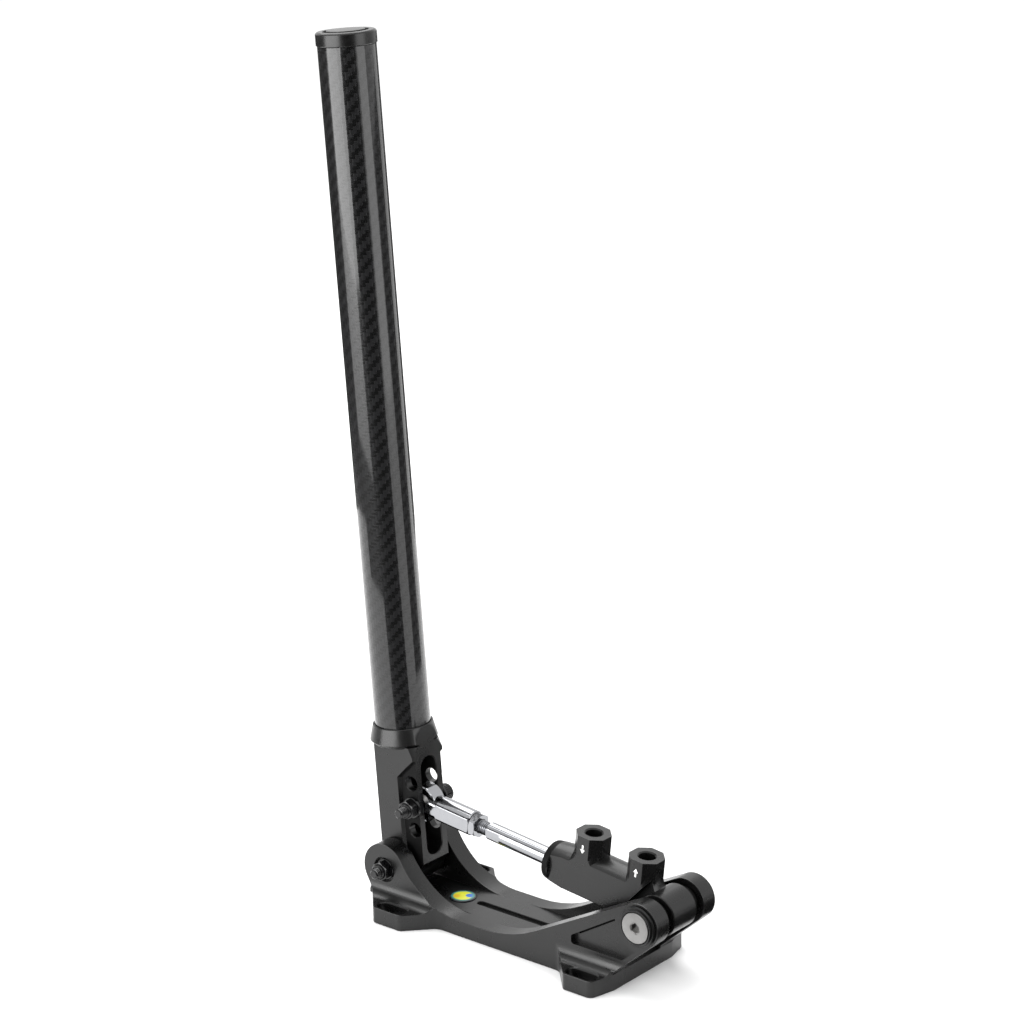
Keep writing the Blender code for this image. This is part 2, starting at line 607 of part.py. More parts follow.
def make_nut(name, seat_y, centre, parent):
    """A locking nut on the near side, with its round collar outwards."""
    hexagon = [(centre[0] + u, centre[2] + v) for u, v in polygon(NUT_FLATS, 6, pi / 6)]
    outer = -(seat_y + NUT_HEX_HEIGHT)
    nut = prism(name, hexagon, outer, -seat_y, "Y", BLACK_STEEL, parent)
    trim = [(0.0, outer), (NUT_FLATS / 2, outer), (NUT_FLATS, outer + NUT_FLATS / 2),
            (NUT_FLATS, OVERCUT - seat_y), (0.0, OVERCUT - seat_y)]
    keep(nut, lathe("chamfer", trim, "Y", SMALL_SEGMENTS, centre=centre, start=SEAM_TURN))
    join(nut, drum("collar", NUT_COLLAR_RADIUS, outer - NUT_COLLAR_HEIGHT, -seat_y - GAP, "Y",
                   SMALL_SEGMENTS, centre=centre))
    cut(nut, drum("thread", BOLT_RADIUS + GAP, outer - NUT_COLLAR_HEIGHT - OVERCUT,
                  OVERCUT - seat_y, "Y", SMALL_SEGMENTS, centre=centre))
    smooth(nut)
    return nut


def tube_profile(inner, outer, low, high):
    return [(inner, low), (outer, low), (outer, high), (inner, high)]


def make_pair(name, profile, count, finish, parent=None, centre=(0, 0, 0)):
    """The same turned piece at both sides of the middle plane."""
    lathe(f"{name}_far", profile, "Y", count, finish, parent, centre)
    near = [(radius, -y) for radius, y in profile]
    lathe(f"{name}_near", near, "Y", count, finish, parent, centre)


def make_lever_pivot():
    centre = (LEVER_PIVOT_X, 0, LEVER_PIVOT_Z)
    washer = WASHER_SEAT_Y + GAP
    seat = washer + WASHER_THICKNESS + GAP
    make_bolt("lever_pivot_bolt", seat, PIVOT_BOLT_TIP_Y, centre, None)
    make_nut("lever_pivot_nut", seat, centre, None)
    make_pair("lever_pivot_washer",
              tube_profile(BOLT_RADIUS + GAP, WASHER_RADIUS, washer, washer + WASHER_THICKNESS),
              SMALL_SEGMENTS, BLACK_STEEL, centre=centre)
    half = LEVER_EAR_INNER_Y - GAP
    lathe("lever_pivot_sleeve", tube_profile(BOLT_RADIUS + GAP, SLEEVE_OUTER, -half, half),
          "Y", SMALL_SEGMENTS, STAINLESS, centre=centre)


def make_cylinder_pivot():
    centre = (CYLINDER_PIVOT_X, 0, CYLINDER_PIVOT_Z)
    face = BODY_HALF_WIDTH + GAP + CUP_FLANGE_HEIGHT + CUP_STEP_HEIGHT
    top = face + SCREW_PROUD
    cone = SCREW_HEAD_RADIUS - SCREW_RADIUS
    under = top - SCREW_RIM_HEIGHT
    tip = top - SCREW_LENGTH
    screw = [(0.0, tip), (SCREW_RADIUS, tip), (SCREW_RADIUS, under - cone),
             (SCREW_HEAD_RADIUS, under), (SCREW_HEAD_RADIUS, top),
             (SCREW_SOCKET_RADIUS, top), (SCREW_SOCKET_RADIUS, top - SCREW_SOCKET_DEPTH),
             (0.0, top - SCREW_SOCKET_DEPTH)]
    make_pair("cylinder_pivot_screw", screw, SMALL_SEGMENTS, ZINC, centre=centre)
    rest = BODY_HALF_WIDTH + GAP
    step = rest + CUP_FLANGE_HEIGHT
    hole = SCREW_RADIUS + GAP
    floor = PIN_HALF_LENGTH + GAP
    end = CYLINDER_EAR_INNER_Y + GAP
    cup = [(PIN_RADIUS + GAP, end), (CUP_SLEEVE_RADIUS, end), (CUP_SLEEVE_RADIUS, rest),
           (CUP_FLANGE_RADIUS, rest), (CUP_FLANGE_RADIUS, step), (CUP_STEP_RADIUS, step),
           (CUP_STEP_RADIUS, face), (SCREW_HEAD_RADIUS + GAP, face),
           (SCREW_HEAD_RADIUS + GAP, under - GAP), (hole, under - GAP - cone),
           (hole, floor), (PIN_RADIUS + GAP, floor)]
    make_pair("cylinder_pivot_cup", cup, SMALL_SEGMENTS, BUSHING, centre=centre)
    socket = tip - GAP
    pin = [(0.0, -socket), (hole, -socket), (hole, -PIN_HALF_LENGTH),
           (PIN_RADIUS, -PIN_HALF_LENGTH), (PIN_RADIUS, PIN_HALF_LENGTH),
           (hole, PIN_HALF_LENGTH), (hole, socket), (0.0, socket)]
    lathe("cylinder_pivot_pin", pin, "Y", SMALL_SEGMENTS, STAINLESS, centre=centre)
    make_pair("cylinder_spacer",
              tube_profile(PIN_RADIUS + GAP, SPACER_RADIUS, BARREL_HALF_LENGTH + GAP,
                           CYLINDER_EAR_INNER_Y - GAP),
              SMALL_SEGMENTS, BUSHING, centre=centre)


def fork_section():
    """The fork's outline across the lever: round at the back, flat at the sides and front."""
    turn = acos(FORK_SIDE_Y / FORK_BACK_RADIUS)
    back = arc((0, 0), FORK_BACK_RADIUS, pi / 2 + turn, 3 * pi / 2 - turn)
    return back + [(FORK_FRONT_X, -FORK_SIDE_Y), (FORK_FRONT_X, FORK_SIDE_Y)]


def collar_radius(w):
    return COLLAR_TOP_RADIUS + COLLAR_FLARE * (COLLAR_TOP - w)


def make_lever_fork(parent):
    low = -FORK_BOTTOM_RADIUS - OVERCUT
    widest = collar_radius(COLLAR_CONE_BOTTOM)
    wide = 2 * FORK_BACK_RADIUS
    spigot = TUBE_INNER - GAP
    bore = spigot - SPIGOT_WALL
    top = TUBE_BOTTOM - GAP + SPIGOT_LENGTH
    socket = TUBE_RADIUS + GAP
    # The turned blank, with its flared collar and the spigot inside the tube
    blank = [(0.0, low), (widest, low), (widest, COLLAR_CONE_BOTTOM),
             (COLLAR_CORNER_RADIUS, COLLAR_CORNER_TOP),
             (collar_radius(COLLAR_CORNER_TOP), COLLAR_CORNER_TOP),
             (COLLAR_TOP_RADIUS, COLLAR_TOP), (socket, COLLAR_TOP), (socket, TUBE_BOTTOM - GAP),
             (spigot, TUBE_BOTTOM - GAP), (spigot, top), (bore, top), (bore, SPIGOT_FLOOR),
             (0.0, SPIGOT_FLOOR)]
    fork = lathe("lever_fork", blank, "Z", LARGE_SEGMENTS, ANODISED, parent, start=SEAM_TURN)
    # Milled to the fork's section below the ring, up to a 45 degree step
    ring = collar_radius(COLLAR_RING_BOTTOM) - COLLAR_RING_STEP
    step = COLLAR_RING_BOTTOM - COLLAR_RING_STEP
    around = [(0.0, low - OVERCUT), (wide, low - OVERCUT), (wide, step + wide - ring),
              (ring, step), (0.0, step)]
    waste = lathe("around", around, "Z", LARGE_SEGMENTS)
    cut(waste, prism("section", fork_section(), 2 * low, 2 * step, "Z"))
    cut(fork, waste)
    # The front face runs up through the collar
    cut(fork, block("front", (FORK_FRONT_X, -2 * widest, low - OVERCUT),
                    (2 * widest, 2 * widest, COLLAR_TOP + OVERCUT)))
    # The lower end, round about the pivot
    start = atan2(0.0, -FORK_BOTTOM_RADIUS)
    end = -atan2(FORK_CORNER_CUT, FORK_BOTTOM_RADIUS)
    round_end = arc((0, 0), FORK_BOTTOM_RADIUS, start, 2 * pi + end)
    below = [(-wide, FORK_BACK_BOTTOM), (-FORK_BACK_RADIUS, FORK_BACK_BOTTOM)] + round_end
    below += [(FORK_FRONT_X, FORK_FRONT_BOTTOM), (wide, FORK_FRONT_BOTTOM),
              (wide, -wide), (-wide, -wide)]
    cut(fork, prism("below", below, -wide, wide, "Y"))
    # Side pockets, which leave a boss at the pivot
    for side in (-1, 1):
        outer = side * (FORK_SIDE_Y + 2 * OVERCUT)
        pocket = side_pocket(side, outer)
        cut(pocket, drum("boss", PIVOT_BOSS_RADIUS, -wide, wide, "Y", LARGE_SEGMENTS))
        cut(fork, pocket)
    # The front slot for the rod end is deeper above the pivot bore
    cut(fork, slot_cutter(FORK_SLOT_BACK_X, DEEP_SLOT_BOTTOM))
    cut(fork, slot_cutter(SHALLOW_SLOT_X, FORK_SLOT_BOTTOM))
    # Three holes give three leverage ratios
    for step in (-1, 0, 1):
        place = (ROD_HOLE_X, 0, ROD_HOLE_W + step * ROD_HOLE_PITCH)
        cut(fork, drum("hole", ROD_HOLE_RADIUS, -wide, wide, "Y", SMALL_SEGMENTS,
                       centre=place))
    cut(fork, drum("sleeve_bore", BUSH_BORE, -wide, wide, "Y", SMALL_SEGMENTS))
    for side in (-1, 1):
        cut(fork, drum("bush_seat", BUSH_OUTER + GAP, side * (FORK_SIDE_Y - BUSH_LENGTH - GAP),
                       side * wide, "Y", SMALL_SEGMENTS))
    smooth(fork)
    return fork


def side_pocket(side, outer):
    """The milled side of the fork, with a diagonal top edge and a back wall that slopes."""
    front = FORK_FRONT_X + 4 * OVERCUT
    rise = (SIDE_POCKET_TOP - SIDE_POCKET_SHOULDER) / (FORK_FRONT_X - SIDE_POCKET_X)
    top = SIDE_POCKET_TOP + rise * (front - FORK_FRONT_X)
    bottom = -2 * FORK_BOTTOM_RADIUS
    shape = bmesh.new()
    rings = []
    floor = side * CHEEK_Y
    for y, shift in ((floor, SIDE_POCKET_SLOPE), (outer, 0.0)):
        lower = SIDE_POCKET_SHOULDER - shift / 2
        corners = [(SIDE_POCKET_X + shift, bottom), (SIDE_POCKET_X + shift, lower),
                   (front, top - shift), (front, bottom)]
        rings.append([shape.verts.new((u, y, v)) for u, v in corners])
    shape.faces.new(rings[0])
    shape.faces.new(rings[1])
    for i in range(len(rings[0])):
        shape.faces.new((rings[0][i - 1], rings[0][i], rings[1][i], rings[1][i - 1]))
    return add_object("side_pocket", shape)


def slot_cutter(back, bottom):
    """A slot with round ends, cut in from the front of the fork."""
    radius = CHEEK_SLOT_Y
    outline = [(y, w) for w, y in arc((FORK_SLOT_TOP - radius, 0), radius, -pi / 2, pi / 2)]
    outline += [(y, w) for w, y in arc((bottom + radius, 0), radius, pi / 2, 3 * pi / 2)]
    return bar("front_slot", outline, back, FORK_FRONT_X + 4 * OVERCUT)


def make_handle(parent):
    top = CAP_BOTTOM - GAP
    lathe("handle_tube", tube_profile(TUBE_INNER, TUBE_RADIUS, TUBE_BOTTOM, top), "Z",
          LARGE_SEGMENTS, CARBON, parent)
    plug = TUBE_INNER - GAP
    cap_top = CAP_BOTTOM + CAP_HEIGHT
    dish = cap_top - CAP_DISH_DEPTH
    cap = [(0.0, CAP_BOTTOM - CAP_PLUG_LENGTH), (plug, CAP_BOTTOM - CAP_PLUG_LENGTH),
           (plug, CAP_BOTTOM), (CAP_RADIUS - CAP_CHAMFER, CAP_BOTTOM),
           (CAP_RADIUS, CAP_BOTTOM + CAP_CHAMFER), (CAP_RADIUS, cap_top - CAP_CHAMFER),
           (CAP_RADIUS - CAP_CHAMFER, cap_top), (CAP_DISH_RADIUS, cap_top),
           (CAP_DISH_RADIUS, dish), (0.0, dish)]
    lathe("top_cap", cap, "Z", LARGE_SEGMENTS, ANODISED, parent)
    drum("cap_disc", CAP_DISC_RADIUS, dish + GAP, dish + GAP + CAP_DISC_HEIGHT, "Z",
         LARGE_SEGMENTS, finish=ANODISED, parent=parent)


def make_lever_bushes(parent):
    face = FORK_SIDE_Y + GAP
    flange = LEVER_EAR_INNER_Y - GAP
    bush = [(BUSH_BORE, FORK_SIDE_Y - BUSH_LENGTH), (BUSH_OUTER, FORK_SIDE_Y - BUSH_LENGTH),
            (BUSH_OUTER, face), (BUSH_FLANGE_RADIUS, face), (BUSH_FLANGE_RADIUS, flange),
            (BUSH_BORE, flange)]
    make_pair("lever_pivot_bush", bush, SMALL_SEGMENTS, BUSHING, parent)


def make_rod_end_bolt(parent):
    centre = (ROD_HOLE_X, 0, ROD_HOLE_W)
    washer = CHEEK_Y + GAP
    seat = washer + WASHER_THICKNESS + GAP
    make_bolt("rod_end_bolt", seat, ROD_BOLT_TIP_Y, centre, parent)
    make_nut("rod_end_nut", seat, centre, parent)
    make_pair("rod_end_washer",
              tube_profile(BOLT_RADIUS + GAP, WASHER_RADIUS, washer, washer + WASHER_THICKNESS),
              SMALL_SEGMENTS, BLACK_STEEL, parent, centre)
    make_pair("rod_end_bolt_sleeve",
              tube_profile(BOLT_RADIUS + GAP, ROD_HOLE_RADIUS - GAP, CHEEK_SLOT_Y, CHEEK_Y),
              SMALL_SEGMENTS, STAINLESS, parent, centre)


def make_rod_end(parent):
    """The rod end, its liner and its ball; the rod's own frame has X from the ball on."""
    face = sqrt(BALL_RADIUS ** 2 - BALL_HALF_WIDTH ** 2)
    edge = atan2(BALL_HALF_WIDTH, face)
    sphere = arc((0, 0), BALL_RADIUS, -edge, edge)
    ball = [(BALL_BORE_RADIUS, -BALL_HALF_WIDTH)] + sphere + [(BALL_BORE_RADIUS, BALL_HALF_WIDTH)]
    lathe("rod_end_ball", ball, "Y", SMALL_SEGMENTS, STAINLESS, parent)
    race = BALL_RADIUS + GAP
    edge = atan2(LINER_HALF_WIDTH, sqrt(race ** 2 - LINER_HALF_WIDTH ** 2))
    seat = arc((0, 0), race, edge, -edge)
    liner = seat + [(LINER_OUTER, -LINER_HALF_WIDTH), (LINER_OUTER, LINER_HALF_WIDTH)]
    lathe("rod_end_liner", liner, "Y", SMALL_SEGMENTS, LINING, parent)
    width = ROD_END_HALF_WIDTH
    rim = ROD_END_RADIUS - ROD_END_RIM_CHAMFER
    head = [(0.0, -width), (rim, -width), (ROD_END_RADIUS, ROD_END_RIM_CHAMFER - width),
            (ROD_END_RADIUS, width - ROD_END_RIM_CHAMFER), (rim, width), (0.0, width)]
    housing = lathe("rod_end_housing", head, "Y", LARGE_SEGMENTS, ZINC, parent)
    hexagon = polygon(ROD_END_FLATS, 6, pi / 6)
    join(housing, bar("shank", hexagon, ROD_END_RADIUS / 2, ROD_END_LENGTH))
    cut(housing, drum("eye", LINER_OUTER + GAP, -2 * width, 2 * width, "Y", LARGE_SEGMENTS))
    cut(housing, drum("thread", STUD_RADIUS + GAP, ROD_END_LENGTH - STUD_IN_ROD_END - GAP,
                      ROD_END_LENGTH + OVERCUT, "X", SMALL_SEGMENTS))
    smooth(housing)


def bar(name, section, low, high, parent=None, finish=None):
    """A bar along X with a section given as (y, z)."""
    shape = bmesh.new()
    rings = [[shape.verts.new((x, u, v)) for u, v in section] for x in (low, high)]
    shape.faces.new(rings[0])
    shape.faces.new(rings[1])
    for i in range(len(section)):
        shape.faces.new((rings[0][i - 1], rings[0][i], rings[1][i], rings[1][i - 1]))
    return add_object(name, shape, finish, parent)


def make_stud_and_nut(parent):
    low = ROD_END_LENGTH - STUD_IN_ROD_END
    high = PUSHROD_START + STUD_IN_PUSHROD
    end_radius = STUD_RADIUS - STUD_CHAMFER
    profile = [(0.0, low), (end_radius, low), (STUD_RADIUS, low + STUD_CHAMFER),
               (STUD_RADIUS, high - STUD_CHAMFER), (end_radius, high), (0.0, high)]
    lathe("threaded_stud", profile, "X", SMALL_SEGMENTS, ZINC, parent)
    start = ROD_END_LENGTH + GAP
    end = start + JAM_NUT_THICKNESS
    nut = bar("jam_nut", polygon(JAM_NUT_FLATS, 6, pi / 6), start, end, parent, ZINC)
    wide = JAM_NUT_FLATS / 2 + JAM_NUT_THICKNESS / 2 / tan(JAM_NUT_CHAMFER)
    trim = [(0.0, start), (JAM_NUT_FLATS / 2, start), (wide, start + JAM_NUT_THICKNESS / 2),
            (JAM_NUT_FLATS / 2, end), (0.0, end)]
    keep(nut, lathe("chamfer", trim, "X", SMALL_SEGMENTS, start=SEAM_TURN))
    cut(nut, drum("thread", STUD_RADIUS + GAP, start - OVERCUT, end + OVERCUT, "X",
                  SMALL_SEGMENTS))
    smooth(nut)


def make_pushrod(parent):
    """The push rod with its wrench flats, its stop flange and the nose that fits the piston."""
    flange = stop_face()
    nose = flange + PUSHROD_FLANGE_THICKNESS
    start = PUSHROD_START
    end = nose + PUSHROD_NOSE_LENGTH
    hole = STUD_RADIUS + GAP
    profile = [(0.0, start + STUD_IN_PUSHROD + GAP), (hole, start + STUD_IN_PUSHROD + GAP),
               (hole, start), (PUSHROD_RADIUS - PUSHROD_CHAMFER, start),
               (PUSHROD_RADIUS, start + PUSHROD_CHAMFER), (PUSHROD_RADIUS, flange),
               (PUSHROD_FLANGE_RADIUS, flange), (PUSHROD_FLANGE_RADIUS, nose),
               (PUSHROD_NOSE_RADIUS, nose)]
    profile += [(PUSHROD_NOSE_RADIUS * cos(t), end - PUSHROD_NOSE_RADIUS * (1 - sin(t)))
                for t in (i * pi / 2 / PUSHROD_NOSE_STEPS for i in range(PUSHROD_NOSE_STEPS))]
    rod = lathe("pushrod", profile + [(0.0, end)], "X", SMALL_SEGMENTS, ZINC, parent)
    for side in (-1, 1):
        flat = side * WRENCH_FLAT_DISTANCE / 2
        far = side * 2 * PUSHROD_RADIUS
        cut(rod, block("flat", (start - OVERCUT, min(flat, far), -PUSHROD_RADIUS - OVERCUT),
                       (start + WRENCH_FLAT_LENGTH, max(flat, far), PUSHROD_RADIUS + OVERCUT)))
    smooth(rod)


def front_face():
    """Place of the cylinder's front face, measured from the ball along the rod."""
    return ROD_SPAN - CYLINDER_LENGTH


def groove_start():
    return front_face() + GAP + WIPER_THICKNESS + 2 * GAP


def groove_end():
    return groove_start() + SNAP_RING_THICKNESS + 2 * GAP


def stop_face():
    """Near face of the push rod's flange, behind the stop washer."""
    return groove_end() + STOP_WASHER_THICKNESS + GAP


def piston_start():
    return stop_face() + PUSHROD_FLANGE_THICKNESS + GAP


def piston_end():
    return piston_start() + PISTON_LENGTH


def make_piston(parent):
    start = piston_start()
    end = piston_end()
    body = BORE_RADIUS - GAP
    socket = PUSHROD_NOSE_RADIUS + GAP
    depth = start + PUSHROD_NOSE_LENGTH
    groove = start + PISTON_LAND
    cup = groove + 2 * GAP + CUP_LENGTH
    profile = [(0.0, depth), (socket, depth), (socket, start), (body, start), (body, groove),
               (PISTON_WAIST_RADIUS, groove), (PISTON_WAIST_RADIUS, cup), (body, cup),
               (body, cup + PISTON_LAND), (PISTON_WAIST_RADIUS, cup + PISTON_LAND),
               (PISTON_WAIST_RADIUS, end - PISTON_LAND), (body, end - PISTON_LAND), (body, end),
               (CUP_CORE_RADIUS - GAP, end), (CUP_CORE_RADIUS - GAP, end + CUP_LENGTH),
               (0.0, end + CUP_LENGTH)]
    lathe("piston", profile, "X", SMALL_SEGMENTS, STAINLESS, parent)
    lip = PISTON_WAIST_RADIUS + GAP
    second = groove + GAP
    secondary = [(lip, second), (body, second), (body, second + CUP_LENGTH),
                 (lip, second + CUP_LENGTH / 2)]
    lathe("secondary_cup", secondary, "X", SMALL_SEGMENTS, RUBBER, parent)
    first = end + GAP
    primary = [(CUP_CORE_RADIUS, first), (body, first), (body, first + CUP_LENGTH),
               (CUP_CORE_RADIUS, first + CUP_LENGTH / 2)]
    lathe("primary_cup", primary, "X", SMALL_SEGMENTS, RUBBER, parent)
    make_spring(first + CUP_LENGTH + GAP, ROD_SPAN - BORE_END - GAP, parent)


def make_spring(low, high, parent):
    """The return spring, a round wire wound about the cylinder's axis."""
    per_turn = 12
    around = 5
    steps = round(SPRING_TURNS * per_turn)
    first = low + SPRING_WIRE_RADIUS
    last = high - SPRING_WIRE_RADIUS
    shape = bmesh.new()
    rings = []
    for i in range(steps + 1):
        turn = 2 * pi * i / per_turn
        out = Vector((0.0, cos(turn), sin(turn)))
        spot = Vector((first + (last - first) * i / steps, 0, 0)) + out * SPRING_RADIUS
        side = Vector((1, 0, 0))
        ring = []
        for k in range(around):
            angle = 2 * pi * k / around
            ring.append(shape.verts.new(
                spot + (out * cos(angle) + side * sin(angle)) * SPRING_WIRE_RADIUS))
        rings.append(ring)
    for before, after in zip(rings, rings[1:]):
        for k in range(around):
            shape.faces.new((before[k - 1], before[k], after[k], after[k - 1]))
    shape.faces.new(rings[0])
    shape.faces.new(rings[-1])
    spring = add_object("return_spring", shape, SPRING_STEEL, parent)
    smooth(spring, radians(70.0))


def port_boss(x):
    """An eight-sided port with a filleted skirt where it meets the cylinder."""
    shape = bmesh.new()
    rings = []
    skirt = [(0.0, PORT_HEIGHT)]
    for i in range(PORT_SKIRT_STEPS + 1):
        turn = i * pi / 2 / PORT_SKIRT_STEPS
        skirt.append((PORT_SKIRT_FILLET * (1 - cos(turn)),
                      CYLINDER_RADIUS - 2 * OVERCUT + PORT_SKIRT_FILLET * (1 - sin(turn))))
    skirt.append((PORT_SKIRT_FILLET, 0.0))
    for grow, height in skirt:
        outline = polygon(PORT_FLATS + 2 * grow, PORT_SIDES, pi / PORT_SIDES)
        rings.append([shape.verts.new((x + u, v, height)) for u, v in outline])
    shape.faces.new(rings[0])
    shape.faces.new(rings[-1])
    for before, after in zip(rings, rings[1:]):
        for i in range(PORT_SIDES):
            shape.faces.new((before[i - 1], before[i], after[i], after[i - 1]))
    return add_object("port_boss", shape)


def make_cylinder_body(parent):
    """Built in the rod's frame, with the ball at 0 and the pivot at ROD_SPAN."""
    front = front_face()
    pivot = ROD_SPAN
    nose = front + NOSE_RING_LENGTH
    taper = front + NOSE_TAPER_LENGTH
    rear = pivot - REAR_TAPER_END
    edge = NOSE_RADIUS + (CYLINDER_RADIUS - NOSE_RADIUS) * NOSE_RING_LENGTH / NOSE_TAPER_LENGTH
    profile = [(0.0, front), (NOSE_RADIUS - NOSE_CHAMFER, front),
               (NOSE_RADIUS, front + NOSE_CHAMFER), (edge, nose), (CYLINDER_RADIUS, taper),
               (CYLINDER_RADIUS, pivot - REAR_TAPER_START), (REAR_TAPER_RADIUS, rear),
               (0.0, rear)]
    body = lathe("cylinder_body", profile, "X", LARGE_SEGMENTS, ANODISED, parent)
    for place in (pivot - FRONT_PORT_X, pivot - REAR_PORT_X):
        join(body, port_boss(place))
    tall = PORT_HEIGHT + 2 * OVERCUT
    wide = 3 * CYLINDER_FLAT_Y
    for side in (-1, 1):
        flat = side * CYLINDER_FLAT_Y
        cut(body, block("side_flat", (nose, min(flat, side * wide), -tall),
                        (pivot + wide, max(flat, side * wide), tall)))
        neck = side * NECK_HALF_WIDTH
        slope = (NECK_LOW_X - NECK_TOP_X) / (CYLINDER_RADIUS + CYLINDER_FLAT_Y)
        low = -CYLINDER_RADIUS - OVERCUT
        outline = [(pivot - NECK_TOP_X + slope * (tall - CYLINDER_RADIUS), tall),
                   (pivot - NECK_TOP_X - slope * (CYLINDER_RADIUS - low), low),
                   (pivot + wide, low), (pivot + wide, tall)]
        cut(body, prism("neck", outline, neck, side * wide, "Y"))
    cut(body, block("rear_end", (pivot, -wide, -tall), (pivot + wide, wide, tall)))
    join(body, drum("barrel", BARREL_RADIUS, -BARREL_HALF_LENGTH, BARREL_HALF_LENGTH, "Y",
                    LARGE_SEGMENTS, centre=(pivot, 0, 0)))
    reach = BARREL_HALF_LENGTH + OVERCUT
    cut(body, drum("pin_bore", barrel_bore(), -reach, reach, "Y", SMALL_SEGMENTS,
                   centre=(pivot, 0, 0)))
    bore = BORE_RADIUS
    ring = bore + SNAP_RING_DEPTH + GAP
    hollow = [(0.0, front - OVERCUT), (bore, front - OVERCUT), (bore, groove_start()),
              (ring, groove_start()), (ring, groove_end()), (bore, groove_end()),
              (bore, pivot - BORE_END), (BORE_PASSAGE_RADIUS, pivot - BORE_END),
              (BORE_PASSAGE_RADIUS, pivot - BORE_PASSAGE_END), (0.0, pivot - BORE_PASSAGE_END)]
    cut(body, lathe("bore", hollow, "X", SMALL_SEGMENTS, start=SEAM_TURN))
    for place in (pivot - FRONT_PORT_X, pivot - REAR_PORT_X):
        wall = PORT_HOLE_RADIUS
        mouth = wall + PORT_HOLE_CHAMFER
        hole = [(0.0, 0.0), (PORT_PASSAGE_RADIUS, 0.0), (PORT_PASSAGE_RADIUS, PORT_HOLE_BOTTOM),
                (wall, PORT_HOLE_BOTTOM), (wall, PORT_HEIGHT - PORT_HOLE_CHAMFER),
                (mouth, PORT_HEIGHT), (mouth, PORT_HEIGHT + OVERCUT),
                (0.0, PORT_HEIGHT + OVERCUT)]
        cut(body, lathe("port", hole, "Z", SMALL_SEGMENTS, centre=(place, 0, 0),
                        start=SEAM_TURN))
    smooth(body)
    return body


def barrel_bore():
    return PIN_RADIUS + GAP + BARREL_BUSH_WALL + GAP


def make_cylinder_trim(parent):
    front = front_face()
    rod = PUSHROD_RADIUS + GAP
    bore = BORE_RADIUS - GAP
    lathe("rod_wiper", tube_profile(rod, bore, front + GAP, front + GAP + WIPER_THICKNESS), "X",
          SMALL_SEGMENTS, RUBBER, parent)
    start = groove_end() + GAP / 2
    lathe("stop_washer", tube_profile(rod, bore, start, start + STOP_WASHER_THICKNESS - GAP / 2),
          "X", SMALL_SEGMENTS, STAINLESS, parent)
    outer = BORE_RADIUS + SNAP_RING_DEPTH
    inner = outer - SNAP_RING_WIDTH
    first = SNAP_RING_OPENING / 2 - pi / 2
    last = 2 * pi - SNAP_RING_OPENING / 2 - pi / 2
    section = arc((0, 0), outer, first, last) + arc((0, 0), inner, last, first)
    ring = bar("snap_ring", section, groove_start() + GAP,
               groove_start() + GAP + SNAP_RING_THICKNESS, parent, SPRING_STEEL)
    smooth(ring)
    bushing = tube_profile(PIN_RADIUS + GAP, barrel_bore() - GAP,
                           BARREL_HALF_LENGTH - BARREL_BUSH_LENGTH, BARREL_HALF_LENGTH)
    make_pair("barrel_bush", bushing, SMALL_SEGMENTS, LINING, parent, (ROD_SPAN, 0, 0))


def main():
    for old in list(bpy.data.objects):
        bpy.data.objects.remove(old)
    lever = frame_empty("lever_pivot", LEVER_PIVOT_X, LEVER_PIVOT_Z, -LEVER_LEAN)
    rod = frame_empty("rod_end_pivot", ROD_END_X, ROD_END_Z, ROD_SLOPE)
    make_base_frame()
    make_badge()
    make_lever_pivot()
    make_cylinder_pivot()
    make_lever_fork(lever)
    make_handle(lever)
    make_lever_bushes(lever)
    make_rod_end_bolt(lever)
    make_rod_end(rod)
    make_stud_and_nut(rod)
    make_pushrod(rod)
    make_piston(rod)
    make_cylinder_body(rod)
    make_cylinder_trim(rod)


main()
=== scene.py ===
from math import acos, atan2, cos, hypot, pi, radians, sin, sqrt, tan

import bpy
from mathutils import Matrix, Vector


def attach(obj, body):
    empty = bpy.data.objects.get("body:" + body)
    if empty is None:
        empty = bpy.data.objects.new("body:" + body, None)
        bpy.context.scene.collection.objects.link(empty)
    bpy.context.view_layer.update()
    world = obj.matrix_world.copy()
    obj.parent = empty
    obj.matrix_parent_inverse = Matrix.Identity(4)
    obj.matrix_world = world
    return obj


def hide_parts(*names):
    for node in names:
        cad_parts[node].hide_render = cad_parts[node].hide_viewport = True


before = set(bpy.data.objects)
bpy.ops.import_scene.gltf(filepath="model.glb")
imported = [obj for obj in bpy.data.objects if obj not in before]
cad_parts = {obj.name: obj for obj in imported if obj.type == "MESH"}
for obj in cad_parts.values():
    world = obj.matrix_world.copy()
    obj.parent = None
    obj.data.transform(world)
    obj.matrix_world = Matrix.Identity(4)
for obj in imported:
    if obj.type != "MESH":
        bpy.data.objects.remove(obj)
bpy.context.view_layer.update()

mm = 0.001

# The pivots and the rod's line, in mm. Lever pieces are drawn upright about the lever pivot
# and leaned back; rod and cylinder pieces are drawn along X from the rod end's ball.
layout = {
    "leverPivot": (-83.0, 25.5), "cylinderPivot": (98.5, 42.5), "lean": 4.1,
    "holeX": 12.6, "holeW": 35.0, "holePitch": 14.0, "cylinderLength": 79.0,
}
lean = radians(layout["lean"])
ballX = layout["leverPivot"][0] + layout["holeX"] * cos(lean) - layout["holeW"] * sin(lean)
ballZ = layout["leverPivot"][1] + layout["holeX"] * sin(lean) + layout["holeW"] * cos(lean)
rodRun = layout["cylinderPivot"][0] - ballX
rodDrop = ballZ - layout["cylinderPivot"][1]
rodSpan = hypot(rodRun, rodDrop)
seats = {
    "base": ((0, 0, 0), 0.0),
    "lever": ((layout["leverPivot"][0], 0, layout["leverPivot"][1]), -lean),
    "rod": ((ballX, 0, ballZ), atan2(rodDrop, rodRun)),
}


